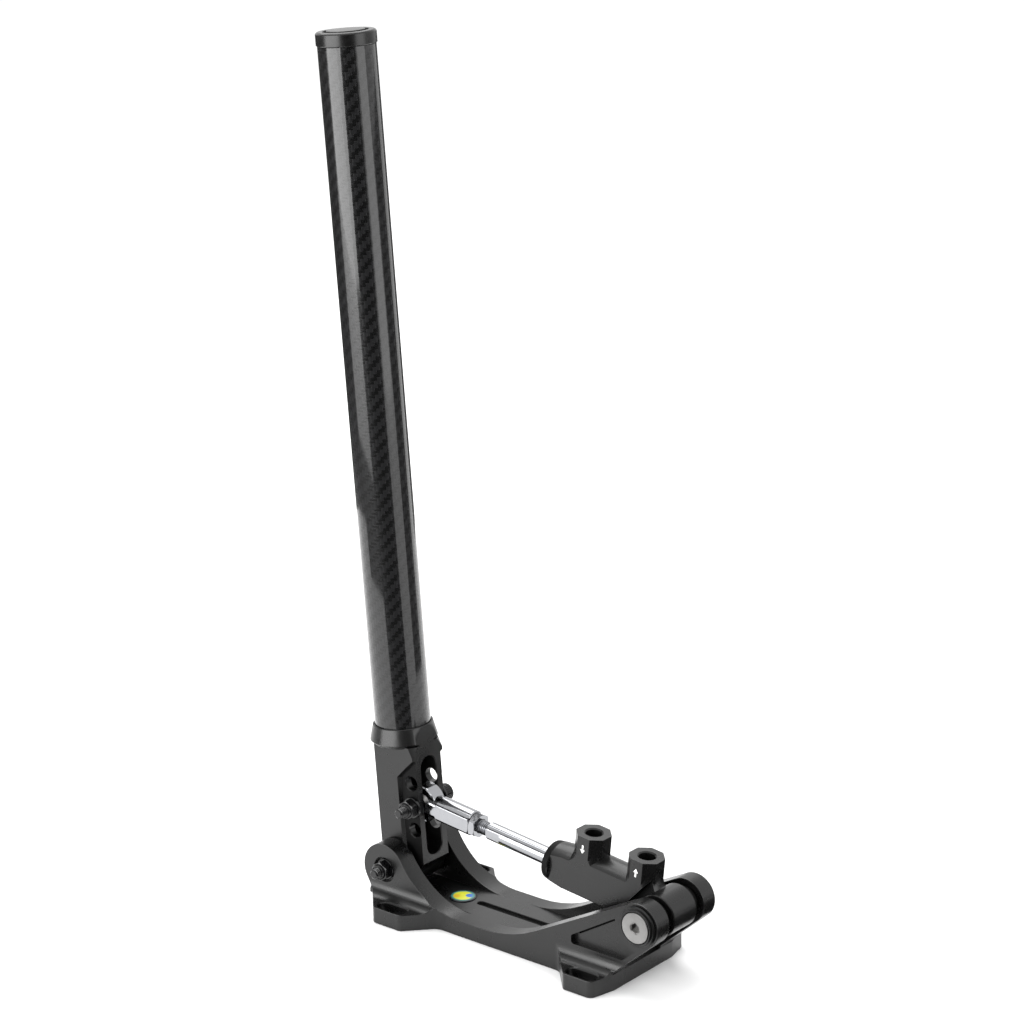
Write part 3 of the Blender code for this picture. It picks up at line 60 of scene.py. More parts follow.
# Drawing and machining steps that all the pieces share
def deselectAll():
    if bpy.context.object and bpy.context.object.mode == "EDIT":
        bpy.ops.object.mode_set(mode="OBJECT")
    bpy.ops.object.select_all(action="DESELECT")


def selectOnly(piece):
    deselectAll()
    piece.select_set(True)
    bpy.context.view_layer.objects.active = piece


def drawChain(name, points):
    # one vertex, extruded from point to point; stays in edit mode
    deselectAll()
    bpy.ops.mesh.primitive_plane_add(size=mm, enter_editmode=True, location=(0, 0, 0))
    bpy.ops.mesh.merge(type="CENTER")
    bpy.ops.transform.translate(value=Vector(points[0]) * mm)
    for before, after in zip(points, points[1:]):
        step = (Vector(after) - Vector(before)) * mm
        bpy.ops.mesh.extrude_vertices_move(TRANSFORM_OT_translate={"value": step})
    bpy.context.object.name = name
    return bpy.context.object


def closeUp(piece, merge=0.002):
    bpy.ops.mesh.select_all(action="SELECT")
    bpy.ops.mesh.remove_doubles(threshold=merge * mm)
    bpy.ops.mesh.normals_make_consistent(inside=False)
    bpy.ops.object.mode_set(mode="OBJECT")
    return piece


def turnPiece(piece, x=0.0, y=0.0, z=0.0, move=(0, 0, 0)):
    selectOnly(piece)
    piece.rotation_euler = (x, y, z)
    piece.location = Vector(move) * mm
    bpy.ops.object.transform_apply(location=True, rotation=True, scale=True)
    return piece


def milled(name, outline, low, high, along="Z"):
    # an outline given a thickness; along Y it is drawn in (x, z), along X in (y, z)
    spots = {"X": lambda u, v: (low, u, v), "Y": lambda u, v: (u, low, v),
             "Z": lambda u, v: (u, v, low)}[along]
    piece = drawChain(name, [spots(u, v) for u, v in outline])
    bpy.ops.mesh.select_all(action="SELECT")
    bpy.ops.mesh.edge_face_add()
    step = {"X": (high - low, 0, 0), "Y": (0, high - low, 0), "Z": (0, 0, high - low)}[along]
    bpy.ops.mesh.extrude_region_move(TRANSFORM_OT_translate={"value": Vector(step) * mm})
    return closeUp(piece)


def turned(name, profile, along="Z", steps=72, centre=(0, 0, 0)):
    # a profile of (radius, place) spun about an axis; a ring's profile is closed
    points = [(radius, 0, place) for radius, place in profile]
    if profile[0][0] > 0 or profile[-1][0] > 0:
        points.append(points[0])
    piece = drawChain(name, points)
    bpy.ops.mesh.select_all(action="SELECT")
    bpy.ops.mesh.remove_doubles(threshold=0.0001 * mm)
    bpy.ops.mesh.spin(steps=steps, angle=2 * pi, center=(0, 0, 0), axis=(0, 0, 1))
    closeUp(piece)
    return turnPiece(piece, x=-pi / 2 if along == "Y" else 0.0,
                     y=pi / 2 if along == "X" else 0.0, move=centre)


def machine(piece, tool, operation="DIFFERENCE"):
    selectOnly(piece)
    bpy.ops.object.modifier_add(type="BOOLEAN")
    step = piece.modifiers[-1]
    step.operation = operation
    step.solver = "EXACT"
    step.object = tool
    bpy.ops.object.modifier_apply(modifier=step.name)
    bpy.data.objects.remove(tool)
    return piece


def breakEdges(piece, width, angle=40.0, segments=2):
    selectOnly(piece)
    bpy.ops.object.modifier_add(type="BEVEL")
    step = piece.modifiers[-1]
    step.width = width * mm
    step.segments = segments
    step.limit_method = "ANGLE"
    step.angle_limit = radians(angle)
    step.use_clamp_overlap = False
    bpy.ops.object.modifier_apply(modifier=step.name)
    return piece


def cleanFlats(piece, merge=0.01):
    # the flat faces that a cut has split become one again
    selectOnly(piece)
    bpy.ops.object.mode_set(mode="EDIT")
    bpy.ops.mesh.select_all(action="SELECT")
    bpy.ops.mesh.remove_doubles(threshold=merge * mm)
    bpy.ops.mesh.dissolve_limited(angle_limit=radians(0.4))
    bpy.ops.mesh.normals_make_consistent(inside=False)
    bpy.ops.object.mode_set(mode="OBJECT")
    return piece


def dropStrays(piece, widest):
    # a bevel can throw a corner far out where a round edge ends on a flat one
    bpy.ops.object.mode_set(mode="OBJECT")
    selectOnly(piece)
    for part in (piece.data.edges, piece.data.polygons):
        part.foreach_set("select", [False] * len(part))
    for vertex in piece.data.vertices:
        vertex.select = abs(vertex.co.y) > widest * mm
    bpy.ops.object.mode_set(mode="EDIT")
    bpy.ops.mesh.select_mode(type="VERT")
    bpy.ops.mesh.dissolve_verts()
    bpy.ops.object.mode_set(mode="OBJECT")
    return piece


def shade(piece, angle=32.0):
    selectOnly(piece)
    bpy.ops.object.shade_smooth_by_angle(angle=radians(angle))
    bpy.ops.object.modifier_add(type="WEIGHTED_NORMAL")
    step = piece.modifiers[-1]
    step.keep_sharp = True
    bpy.ops.object.modifier_apply(modifier=step.name)
    return piece


def joinPieces(name, parts):
    deselectAll()
    for part in parts:
        part.select_set(True)
    bpy.context.view_layer.objects.active = parts[0]
    bpy.ops.object.join()
    parts[0].name = name
    return parts[0]


def copyPiece(piece, name):
    selectOnly(piece)
    bpy.ops.object.duplicate(linked=False)
    bpy.context.object.name = name
    return bpy.context.object


def turnOver(tool):
    # to the other side of the middle plane
    selectOnly(tool)
    tool.scale = (1, -1, 1)
    bpy.ops.object.transform_apply(location=False, rotation=False, scale=True)
    bpy.ops.object.mode_set(mode="EDIT")
    bpy.ops.mesh.select_all(action="SELECT")
    bpy.ops.mesh.normals_make_consistent(inside=False)
    bpy.ops.object.mode_set(mode="OBJECT")
    return tool


def mirrorAcross(piece, name):
    return turnOver(copyPiece(piece, name))


def paintShade(piece, finish, faces):
    # painted shade: a second, darker finish on the faces that sit in shade
    piece.data.materials.append(finish)
    for index in faces:
        piece.data.polygons[index].material_index = 1


def fitPiece(piece, seat, body, finish, slotName, *nodes):
    # sets a finished piece in its place, gives it its finish and its body
    (x, y, z), lie = seats[seat]
    turnPiece(piece, y=lie, move=(x, y, z))
    piece.data.materials.clear()
    piece.data.materials.append(finish)
    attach(piece, body)
    if nodes:
        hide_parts(*nodes)
    return piece


# Outlines, as lists of points in mm
def arcPoints(centre, radius, start, end, step=6.0):
    count = max(2, round(abs(end - start) / radians(step)))
    turns = [start + (end - start) * i / count for i in range(count + 1)]
    return [(centre[0] + radius * cos(t), centre[1] + radius * sin(t)) for t in turns]


def roundCorner(before, corner, after, radius):
    here = Vector(corner)
    back = (Vector(before) - here).normalized()
    ahead = (Vector(after) - here).normalized()
    half = acos(max(-1.0, min(1.0, back.dot(ahead)))) / 2
    centre = here + (back + ahead).normalized() * radius / sin(half)
    start = here + back * radius / tan(half) - centre
    end = here + ahead * radius / tan(half) - centre
    first = atan2(start.y, start.x)
    sweep = (atan2(end.y, end.x) - first + pi) % (2 * pi) - pi
    return arcPoints(centre, radius, first, first + sweep)


def roundedOutline(corners):
    points = []
    for i, (x, y, radius) in enumerate(corners):
        after = corners[(i + 1) % len(corners)]
        if radius:
            points += roundCorner(corners[i - 1][:2], (x, y), after[:2], radius)
        else:
            points.append((x, y))
    return points


def polygonOutline(flats, sides, start=0.0, centre=(0, 0)):
    radius = flats / 2 / cos(pi / sides)
    return [(centre[0] + radius * cos(start + 2 * pi * i / sides),
             centre[1] + radius * sin(start + 2 * pi * i / sides)) for i in range(sides)]


def slotOutline(length, width, centre=(0, 0)):
    half = (length - width) / 2
    return (arcPoints((centre[0] + half, centre[1]), width / 2, -pi / 2, pi / 2)
            + arcPoints((centre[0] - half, centre[1]), width / 2, pi / 2, 3 * pi / 2))


def sunkTool(name, outlineAt, floorAt, faceAt, chamfer, along="Z", over=1.0):
    # a cutter whose mouth is wider by the chamfer at the face; outlineAt gives the outline grown
    away = 1 if faceAt > floorAt else -1
    tool = milled(name, outlineAt(0.0), floorAt, faceAt + away * over, along)
    mouth = milled("mouth", outlineAt(0.0), faceAt - away * chamfer, faceAt + away * over, along)
    selectOnly(mouth)
    bpy.ops.object.mode_set(mode="EDIT")
    bpy.ops.mesh.select_all(action="DESELECT")
    bpy.ops.object.mode_set(mode="OBJECT")
    axis = "XYZ".index(along)
    wide = outlineAt(chamfer + over)
    slim = outlineAt(0.0)
    for vertex in mouth.data.vertices:
        if abs(vertex.co[axis] / mm - (faceAt + away * over)) < 0.01:
            pair = [k for k in range(3) if k != axis]
            spot = min(range(len(slim)), key=lambda i: hypot(
                slim[i][0] - vertex.co[pair[0]] / mm, slim[i][1] - vertex.co[pair[1]] / mm))
            vertex.co[pair[0]] = wide[spot][0] * mm
            vertex.co[pair[1]] = wide[spot][1] * mm
    return machine(tool, mouth, "UNION")


# Finishes
def linear(text):
    parts = [int(text[i:i + 2], 16) / 255 for i in (1, 3, 5)]
    return (*[c / 12.92 if c <= 0.04045 else ((c + 0.055) / 1.055) ** 2.4 for c in parts], 1.0)


def addNode(tree, kind, settings, links=()):
    node = tree.nodes.new(kind)
    for key, value in settings.items():
        if isinstance(key, int) or key in node.inputs:
            node.inputs[key].default_value = value
        else:
            setattr(node, key, value)
    for key, source in dict(links).items():
        tree.links.new(source, node.inputs[key])
    return node


def newFinish(name, colour, roughness, metallic=0.0, ior=None):
    finish = bpy.data.materials.new(name)
    finish.use_nodes = True
    shader = finish.node_tree.nodes["Principled BSDF"]
    shader.inputs["Base Color"].default_value = linear(colour)
    shader.inputs["Roughness"].default_value = roughness
    shader.inputs["Metallic"].default_value = metallic
    if ior:
        shader.inputs["IOR"].default_value = ior
    return finish, finish.node_tree, shader


def spotty(tree, source, size, detail=3.0):
    # noise whose blotches are about size mm across
    return addNode(tree, "ShaderNodeTexNoise", {"Scale": 1 / (size * mm), "Detail": detail},
                   {"Vector": source})


def anodised(name, values):
    # Hard anodised 6082 aluminium, machined and bead blasted: near black, satin, with a fine
    # grain and a slight uneven sheen where the dye took more or less
    finish, tree, shader = newFinish(name, values["base"], values["rough"], ior=values["ior"])
    place = addNode(tree, "ShaderNodeTexCoord", {}).outputs["Object"]
    cloud = spotty(tree, place, values["cloudSize"])
    grain = spotty(tree, place, values["grainSize"], 2.0)
    tone = addNode(tree, "ShaderNodeMix", {"data_type": "RGBA", 6: linear(values["base"]),
                   7: linear(values["light"])}, {0: cloud.outputs["Fac"]})
    tree.links.new(tone.outputs[2], shader.inputs["Base Color"])
    sheen = addNode(tree, "ShaderNodeMapRange", {"From Min": 0.3, "From Max": 0.7,
                    "To Min": values["rough"] - 0.04, "To Max": values["rough"] + 0.06},
                    {"Value": cloud.outputs["Fac"]})
    tree.links.new(sheen.outputs[0], shader.inputs["Roughness"])
    relief = addNode(tree, "ShaderNodeBump", {"Strength": values["grainDepth"],
                     "Distance": 0.02 * mm}, {"Height": grain.outputs["Fac"]})
    tree.links.new(relief.outputs[0], shader.inputs["Normal"])
    return finish


def bareMetal(name, values, along=None):
    # metal with the fine marks of its last cut; along is the direction in which they are long
    finish, tree, shader = newFinish(name, values["base"], values["rough"], 1.0)
    place = addNode(tree, "ShaderNodeTexCoord", {}).outputs["Object"]
    stretch = [1.0, 1.0, 1.0]
    if along:
        stretch["XYZ".index(along)] = values.get("stretch", 0.08)
    mapped = addNode(tree, "ShaderNodeMapping", {"Scale": stretch}, {"Vector": place})
    marks = spotty(tree, mapped.outputs[0], values["markSize"], 4.0)
    cloud = spotty(tree, place, values["cloudSize"])
    tone = addNode(tree, "ShaderNodeMix", {"data_type": "RGBA", 6: linear(values["base"]),
                   7: linear(values["light"])}, {0: cloud.outputs["Fac"]})
    tree.links.new(tone.outputs[2], shader.inputs["Base Color"])
    sheen = addNode(tree, "ShaderNodeMapRange", {"From Min": 0.3, "From Max": 0.7,
                    "To Min": values["rough"] - 0.03, "To Max": values["rough"] + 0.05},
                    {"Value": marks.outputs["Fac"]})
    tree.links.new(sheen.outputs[0], shader.inputs["Roughness"])
    relief = addNode(tree, "ShaderNodeBump", {"Strength": values["markDepth"],
                     "Distance": 0.02 * mm}, {"Height": marks.outputs["Fac"]})
    tree.links.new(relief.outputs[0], shader.inputs["Normal"])
    return finish


carbonValues = {"towsAround": 52, "tube": 16.0, "dark": "#050505", "light": "#1c1c1d",
                "rough": 0.34, "coatRough": 0.06}


def carbonTwill():
    # Carbon fibre in 2x2 twill under a clear epoxy coat: tows of about 1.9 mm that pass over
    # two and under two, so diagonal bands; the two fibre directions catch the light differently,
    # and this is painted in as a lighter colour on the upright tows (painted sheen)
    finish, tree, shader = newFinish("carbonTwill", carbonValues["dark"],
                                     carbonValues["rough"], ior=1.55)
    cloth = addNode(tree, "ShaderNodeUVMap", {"uv_map": "weave"}).outputs[0]
    split = addNode(tree, "ShaderNodeSeparateXYZ", {}, {0: cloth})
    across, up = split.outputs[0], split.outputs[1]

    def calc(operation, *sources):
        node = addNode(tree, "ShaderNodeMath", {"operation": operation})
        for i, source in enumerate(sources):
            if isinstance(source, (int, float)):
                node.inputs[i].default_value = source
            else:
                tree.links.new(source, node.inputs[i])
        return node.outputs[0]

    column, row = calc("FLOOR", across), calc("FLOOR", up)
    step = calc("SUBTRACT", column, row)
    phase = calc("FLOORED_MODULO", step, 4.0)
    over = calc("LESS_THAN", phase, 1.5)        # 1 where the upright tow is on top
    inColumn, inRow = calc("FRACT", across), calc("FRACT", up)
    crownUp = calc("SINE", calc("MULTIPLY", inColumn, pi))
    crownAcross = calc("SINE", calc("MULTIPLY", inRow, pi))
    crown = addNode(tree, "ShaderNodeMix", {"data_type": "FLOAT"},
                    {0: over, 2: crownAcross, 3: crownUp}).outputs[0]
    fibreUp = addNode(tree, "ShaderNodeTexNoise", {"Scale": 1.0, "Detail": 2.0}, {
        "Vector": addNode(tree, "ShaderNodeMapping", {"Scale": (14.0, 0.5, 1.0)},
                          {"Vector": cloth}).outputs[0]})
    fibreAcross = addNode(tree, "ShaderNodeTexNoise", {"Scale": 1.0, "Detail": 2.0}, {
        "Vector": addNode(tree, "ShaderNodeMapping", {"Scale": (0.5, 14.0, 1.0)},
                          {"Vector": cloth}).outputs[0]})
    fibre = addNode(tree, "ShaderNodeMix", {"data_type": "FLOAT"},
                    {0: over, 2: fibreAcross.outputs["Fac"], 3: fibreUp.outputs["Fac"]}).outputs[0]
    # painted sheen, partly real: the upright tows on top are drawn lighter than the ones across,
    # in place of their sheen; the fibre noise is the tows' own streaks
    tint = calc("MULTIPLY", calc("ADD", calc("MULTIPLY", over, 0.75), 0.12),
                calc("ADD", calc("MULTIPLY", fibre, 0.9), 0.35))
    tone = addNode(tree, "ShaderNodeMix", {"data_type": "RGBA", 6: linear(carbonValues["dark"]),
                   7: linear(carbonValues["light"])}, {0: tint})
    tree.links.new(tone.outputs[2], shader.inputs["Base Color"])
    height = calc("ADD", calc("MULTIPLY", crown, 1.0), calc("MULTIPLY", fibre, 0.25))
    relief = addNode(tree, "ShaderNodeBump", {"Strength": 0.55, "Distance": 0.12 * mm},
                     {"Height": height})
    tree.links.new(relief.outputs[0], shader.inputs["Normal"])
    # the fibres lie in resin, so only the coat over them has a hard reflection
    shader.inputs["Specular IOR Level"].default_value = 0.12
    shader.inputs["Coat Weight"].default_value = 1.0
    shader.inputs["Coat Roughness"].default_value = carbonValues["coatRough"]
    return finish


def mouldedPlastic(name, colour, rough, grain, ior=1.48, gloss=0.5):
    # Machined acetal or moulded rubber: deep black, matt, with a fine even grain
    finish, tree, shader = newFinish(name, colour, rough, ior=ior)
    shader.inputs["Specular IOR Level"].default_value = gloss
    place = addNode(tree, "ShaderNodeTexCoord", {}).outputs["Object"]
    fine = spotty(tree, place, grain, 3.0)
    sheen = addNode(tree, "ShaderNodeMapRange", {"From Min": 0.3, "From Max": 0.7,
                    "To Min": rough - 0.05, "To Max": rough + 0.07},
                    {"Value": fine.outputs["Fac"]})
    tree.links.new(sheen.outputs[0], shader.inputs["Roughness"])
    relief = addNode(tree, "ShaderNodeBump", {"Strength": 0.25, "Distance": 0.03 * mm},
                     {"Height": fine.outputs["Fac"]})
    tree.links.new(relief.outputs[0], shader.inputs["Normal"])
    return finish


def wovenLiner():
    # Woven PTFE and bronze fabric bonded in the rod end: brown with a 0.5 mm weave
    finish, tree, shader = newFinish("wovenLiner", "#2e2a24", 0.6)
    place = addNode(tree, "ShaderNodeTexCoord", {}).outputs["Object"]
    bands = addNode(tree, "ShaderNodeTexChecker", {"Scale": 1 / (0.5 * mm),
                    "Color1": linear("#5f4929"), "Color2": linear("#3b2c18")}, {"Vector": place})
    tree.links.new(bands.outputs[0], shader.inputs["Base Color"])
    return finish


badgeValues = {"x": -46.5, "radius": 7.8, "yellow": "#d3d62c", "gold": "#d9b01c",
               "teal": "#2c7f77", "blue": "#2468bd", "rim": "#0b1017"}


def badgeEnamel():
    # Glossy printed enamel, a generic design: a yellow disc with a teal border, a blue spot
    # and a gold spot; the near black rim where the dome falls off is painted shade
    finish, tree, shader = newFinish("badgeEnamel", badgeValues["yellow"], 0.3)
    place = addNode(tree, "ShaderNodeTexCoord", {}).outputs["Object"]
    colour = linear(badgeValues["yellow"])

    def spot(before, across, away, low, high, soft, tint):
        # a soft edged ring or disc, its centre given in mm from the badge's own centre
        middle = ((-badgeValues["x"] - across) * mm, -away * mm, 0)
        moved = addNode(tree, "ShaderNodeMapping", {"Location": middle}, {"Vector": place})
        flat = addNode(tree, "ShaderNodeVectorMath", {"operation": "MULTIPLY", 1: (1, 1, 0)},
                       {0: moved.outputs[0]})
        reach = addNode(tree, "ShaderNodeVectorMath", {"operation": "LENGTH"},
                        {0: flat.outputs[0]}).outputs["Value"]
        rise = addNode(tree, "ShaderNodeMapRange", {"From Min": (low - soft) * mm,
                       "From Max": low * mm}, {"Value": reach})
        fall = addNode(tree, "ShaderNodeMapRange", {"From Min": high * mm,
                       "From Max": (high + soft) * mm, "To Min": 1.0, "To Max": 0.0},
                       {"Value": reach})
        mask = addNode(tree, "ShaderNodeMath", {"operation": "MULTIPLY"},
                       {0: rise.outputs[0], 1: fall.outputs[0]})
        node = addNode(tree, "ShaderNodeMix", {"data_type": "RGBA", 7: linear(tint)},
                       {0: mask.outputs[0]})
        if isinstance(before, tuple):
            node.inputs[6].default_value = before
        else:
            tree.links.new(before, node.inputs[6])
        return node.outputs[2]

    colour = spot(colour, -2.6, -2.4, 0.0, 1.6, 1.0, badgeValues["gold"])
    colour = spot(colour, 3.2, 2.6, 0.0, 2.2, 0.6, badgeValues["blue"])
    colour = spot(colour, 0.0, 0.0, 5.9, 20.0, 0.7, badgeValues["teal"])
    # painted shade: a near black rim over the dome's falling edge
    colour = spot(colour, 0.0, 0.0, 6.9, 20.0, 0.4, badgeValues["rim"])
    tree.links.new(colour, shader.inputs["Base Color"])
    shader.inputs["Coat Weight"].default_value = 0.3
    return finish


# Blasted and anodised aluminium: satin near black. The real grain is about 0.1 mm and is
# drawn at 0.45 mm so that it shows
black = anodised("blackAnodisedAluminium", {
    "base": "#070707", "light": "#0c0c0c", "rough": 0.28, "ior": 1.48, "cloudSize": 14.0,
    "grainSize": 0.45, "grainDepth": 0.2})
# Bright zinc plate on milled steel: a clear mirror with faint tool marks
zinc = bareMetal("brightZincSteel", {"base": "#9a9b9e", "light": "#a6a7aa", "rough": 0.13,
                 "cloudSize": 6.0, "markSize": 1.6, "markDepth": 0.06})
# The same plate on a turned bar: the sharpest reflections, in long soft streaks
turnedZinc = bareMetal("turnedZincSteel", {"base": "#98999c", "light": "#a3a4a7", "rough": 0.10,
                       "cloudSize": 8.0, "markSize": 0.9, "markDepth": 0.06, "stretch": 3.0}, "X")
# Rolled thread on bare steel: greyer and softer, so the flanks can be told apart
rolledSteel = bareMetal("rolledThreadSteel", {"base": "#77787b", "light": "#8c8d90",
                        "rough": 0.27, "cloudSize": 3.0, "markSize": 0.5, "markDepth": 0.1})
# Turned stainless steel: a warm satin grey
stainless = bareMetal("stainlessSteel", {"base": "#8a8988", "light": "#9b9a99", "rough": 0.30,
                      "cloudSize": 5.0, "markSize": 0.4, "markDepth": 0.25})
# Drawn spring wire: dull grey
springWire = bareMetal("springSteel", {"base": "#8d8e90", "light": "#a8a9aa", "rough": 0.35,
                       "cloudSize": 3.0, "markSize": 0.3, "markDepth": 0.3})
# Black oxide on alloy steel, lightly oiled: blacker and glossier than the frame
blackSteel = anodised("blackOxideSteel", {
    "base": "#050506", "light": "#0b0b0c", "rough": 0.22, "ior": 1.5, "cloudSize": 3.0,
    "grainSize": 0.3, "grainDepth": 0.15})
# Turned black acetal, satin, and moulded nitrile rubber, dull
acetal = mouldedPlastic("blackAcetal", "#070707", 0.32, 0.3)
rubber = mouldedPlastic("nitrileRubber", "#0c0c0c", 0.65, 0.4)
# Painted shade for faces that sit in shade: the frame's black, matt, with hardly any gloss, so
# these faces render darker than the frame
shadeBlack = mouldedPlastic("paintedShadeCoat", "#070707", 0.55, 0.3, gloss=0.12)
liner = wovenLiner()
badgeInk = badgeEnamel()
# Pad printed ink: flat white
whitePaint = mouldedPlastic("whitePaint", "#f2f2f0", 0.5, 0.25)
carbon = carbonTwill()
print("finishes made")

# The base frame, milled from one blank
base = {
    "thickness": 9.5, "left": -92.5, "right": 82.0, "bodyHalf": 25.8, "footHalf": 41.6,
    "slotX": 68.0, "slotY": 36.0, "slotLength": 20.0, "slotWidth": 8.0, "leftTip": 19.5,
    "rightTip": 17.5, "flare": 15.0, "rootFillet": 8.0, "tipRound": 4.0, "endReach": 1.5,
    "cornerRound": 0.0,
    "leverEarRadius": 15.2, "leverEarInner": 14.5, "leverHollow": 50.0,
    "cylinderEarRadius": 12.8, "cylinderEarInner": 15.5, "cylinderCrest": 28.0,
    "cylinderFoot": 78.0, "undercut": 41.5, "coveRadius": 8.2, "edge": 0.35,
    "blankHeight": 60.0,
    "pocketDepth": 3.4, "pocketRim": 2.8, "pocketFloor": 19.4, "pocketBoss": 15.8,
    "pocketLeft": 52.6, "pocketSlope": 31.2, "pocketCorner": 1.8, "lineWide": 1.3,
    "lineDeep": 1.8, "counterbore": 7.2, "counterboreDepth": 2.5,
    "grooveLeft": -33.0, "grooveRight": 34.0, "grooveWidth": 4.5, "grooveDepth": 2.0,
}


def planOutline():
    def foot(slotX, tipLength):
        tip = tipLength / 2
        return [(slotX - tip - base["flare"], base["bodyHalf"], base["rootFillet"]),
                (slotX - tip, base["footHalf"], base["tipRound"]),
                (slotX + tip, base["footHalf"], base["tipRound"]),
                (slotX + tip + base["flare"], base["bodyHalf"], base["rootFillet"])]
    left = foot(-base["slotX"], base["leftTip"])
    right = foot(base["slotX"], base["rightTip"])
    left[0] = (base["left"], base["bodyHalf"], base["cornerRound"])
    right[2] = (right[2][0] + base["endReach"], base["footHalf"], base["tipRound"])
    right[3] = (base["right"], base["bodyHalf"], 0)
    side = left + right
    return roundedOutline(side + [(x, -y, radius) for x, y, radius in reversed(side)])


def leverEarTop():
    pivot, hollow = layout["leverPivot"], base["leverHollow"]
    rise = base["thickness"] + hollow - pivot[1]
    reach = sqrt((hollow + base["leverEarRadius"]) ** 2 - rise ** 2)
    turn = atan2(rise, reach)
    back = pi + acos((pivot[0] - base["left"]) / base["leverEarRadius"])
    return (arcPoints(pivot, base["leverEarRadius"], back, turn, 4.0)[:-1]
            + arcPoints((pivot[0] + reach, pivot[1] + rise), hollow, turn + pi, 1.5 * pi, 2.0))


def cylinderEarTop():
    pivot = layout["cylinderPivot"]
    slope, under = radians(base["cylinderCrest"]), radians(base["undercut"])
    top = arcPoints(pivot, base["cylinderEarRadius"], pi / 2 + slope, under - pi / 2, 4.0)
    drop = top[0][1] - base["thickness"]
    meet = (top[0][0] - drop / tan(slope), base["thickness"])
    foot = roundCorner((meet[0] - drop, meet[1]), meet, top[0], base["cylinderFoot"])
    fall = (top[-1][0] - base["right"]) * tan(under)
    return foot + top + [(base["right"], top[-1][1] - fall)]


def pocketOutline():
    # the triangular pocket in a cylinder ear, cut short at the left and clear of the round boss
    pivot, boss = Vector(layout["cylinderPivot"]), base["pocketBoss"]
    fall, floorZ = radians(base["undercut"]), base["pocketFloor"]
    under = Vector((cos(fall), sin(fall)))
    down = Vector((under.y, -under.x))
    low = base["cylinderEarRadius"] - base["pocketRim"]
    lower = pivot + down * low - under * sqrt(boss ** 2 - low ** 2)
    bottom = lower - under * (lower.y - floorZ) / under.y
    upper = pivot - Vector((boss, 0.0))
    left = base["pocketLeft"]
    leftTop = (left, upper.y - (upper.x - left) * tan(radians(base["pocketSlope"])))
    start = atan2(lower.y - pivot.y, lower.x - pivot.x) % (2 * pi)
    corner = base["pocketCorner"]
    return (roundCorner(tuple(upper), leftTop, (left, floorZ), corner)
            + roundCorner(leftTop, (left, floorZ), tuple(bottom), corner)
            + roundCorner((left, floorZ), tuple(bottom), tuple(lower), corner)
            + arcPoints(pivot, boss, start, pi, 4.0))


def pocketLine():
    # the narrow deeper line that the cutter leaves under the pocket's upper wall
    slope = radians(base["pocketSlope"])
    along, wide = Vector((cos(slope), sin(slope))), Vector((sin(slope), -cos(slope)))
    top = Vector(layout["cylinderPivot"]) - Vector((base["pocketBoss"], 0.0))
    high = top - along * 0.6 + wide * 0.1
    low = top - along * ((top.x - base["pocketLeft"]) / along.x - 3.2) + wide * 0.1
    across = wide * base["lineWide"]
    return [tuple(high), tuple(low), tuple(low + across), tuple(high + across)]


def boxTool(name, low, high):
    outline = [(low[0], low[1]), (high[0], low[1]), (high[0], high[1]), (low[0], high[1])]
    return milled(name, outline, low[2], high[2])


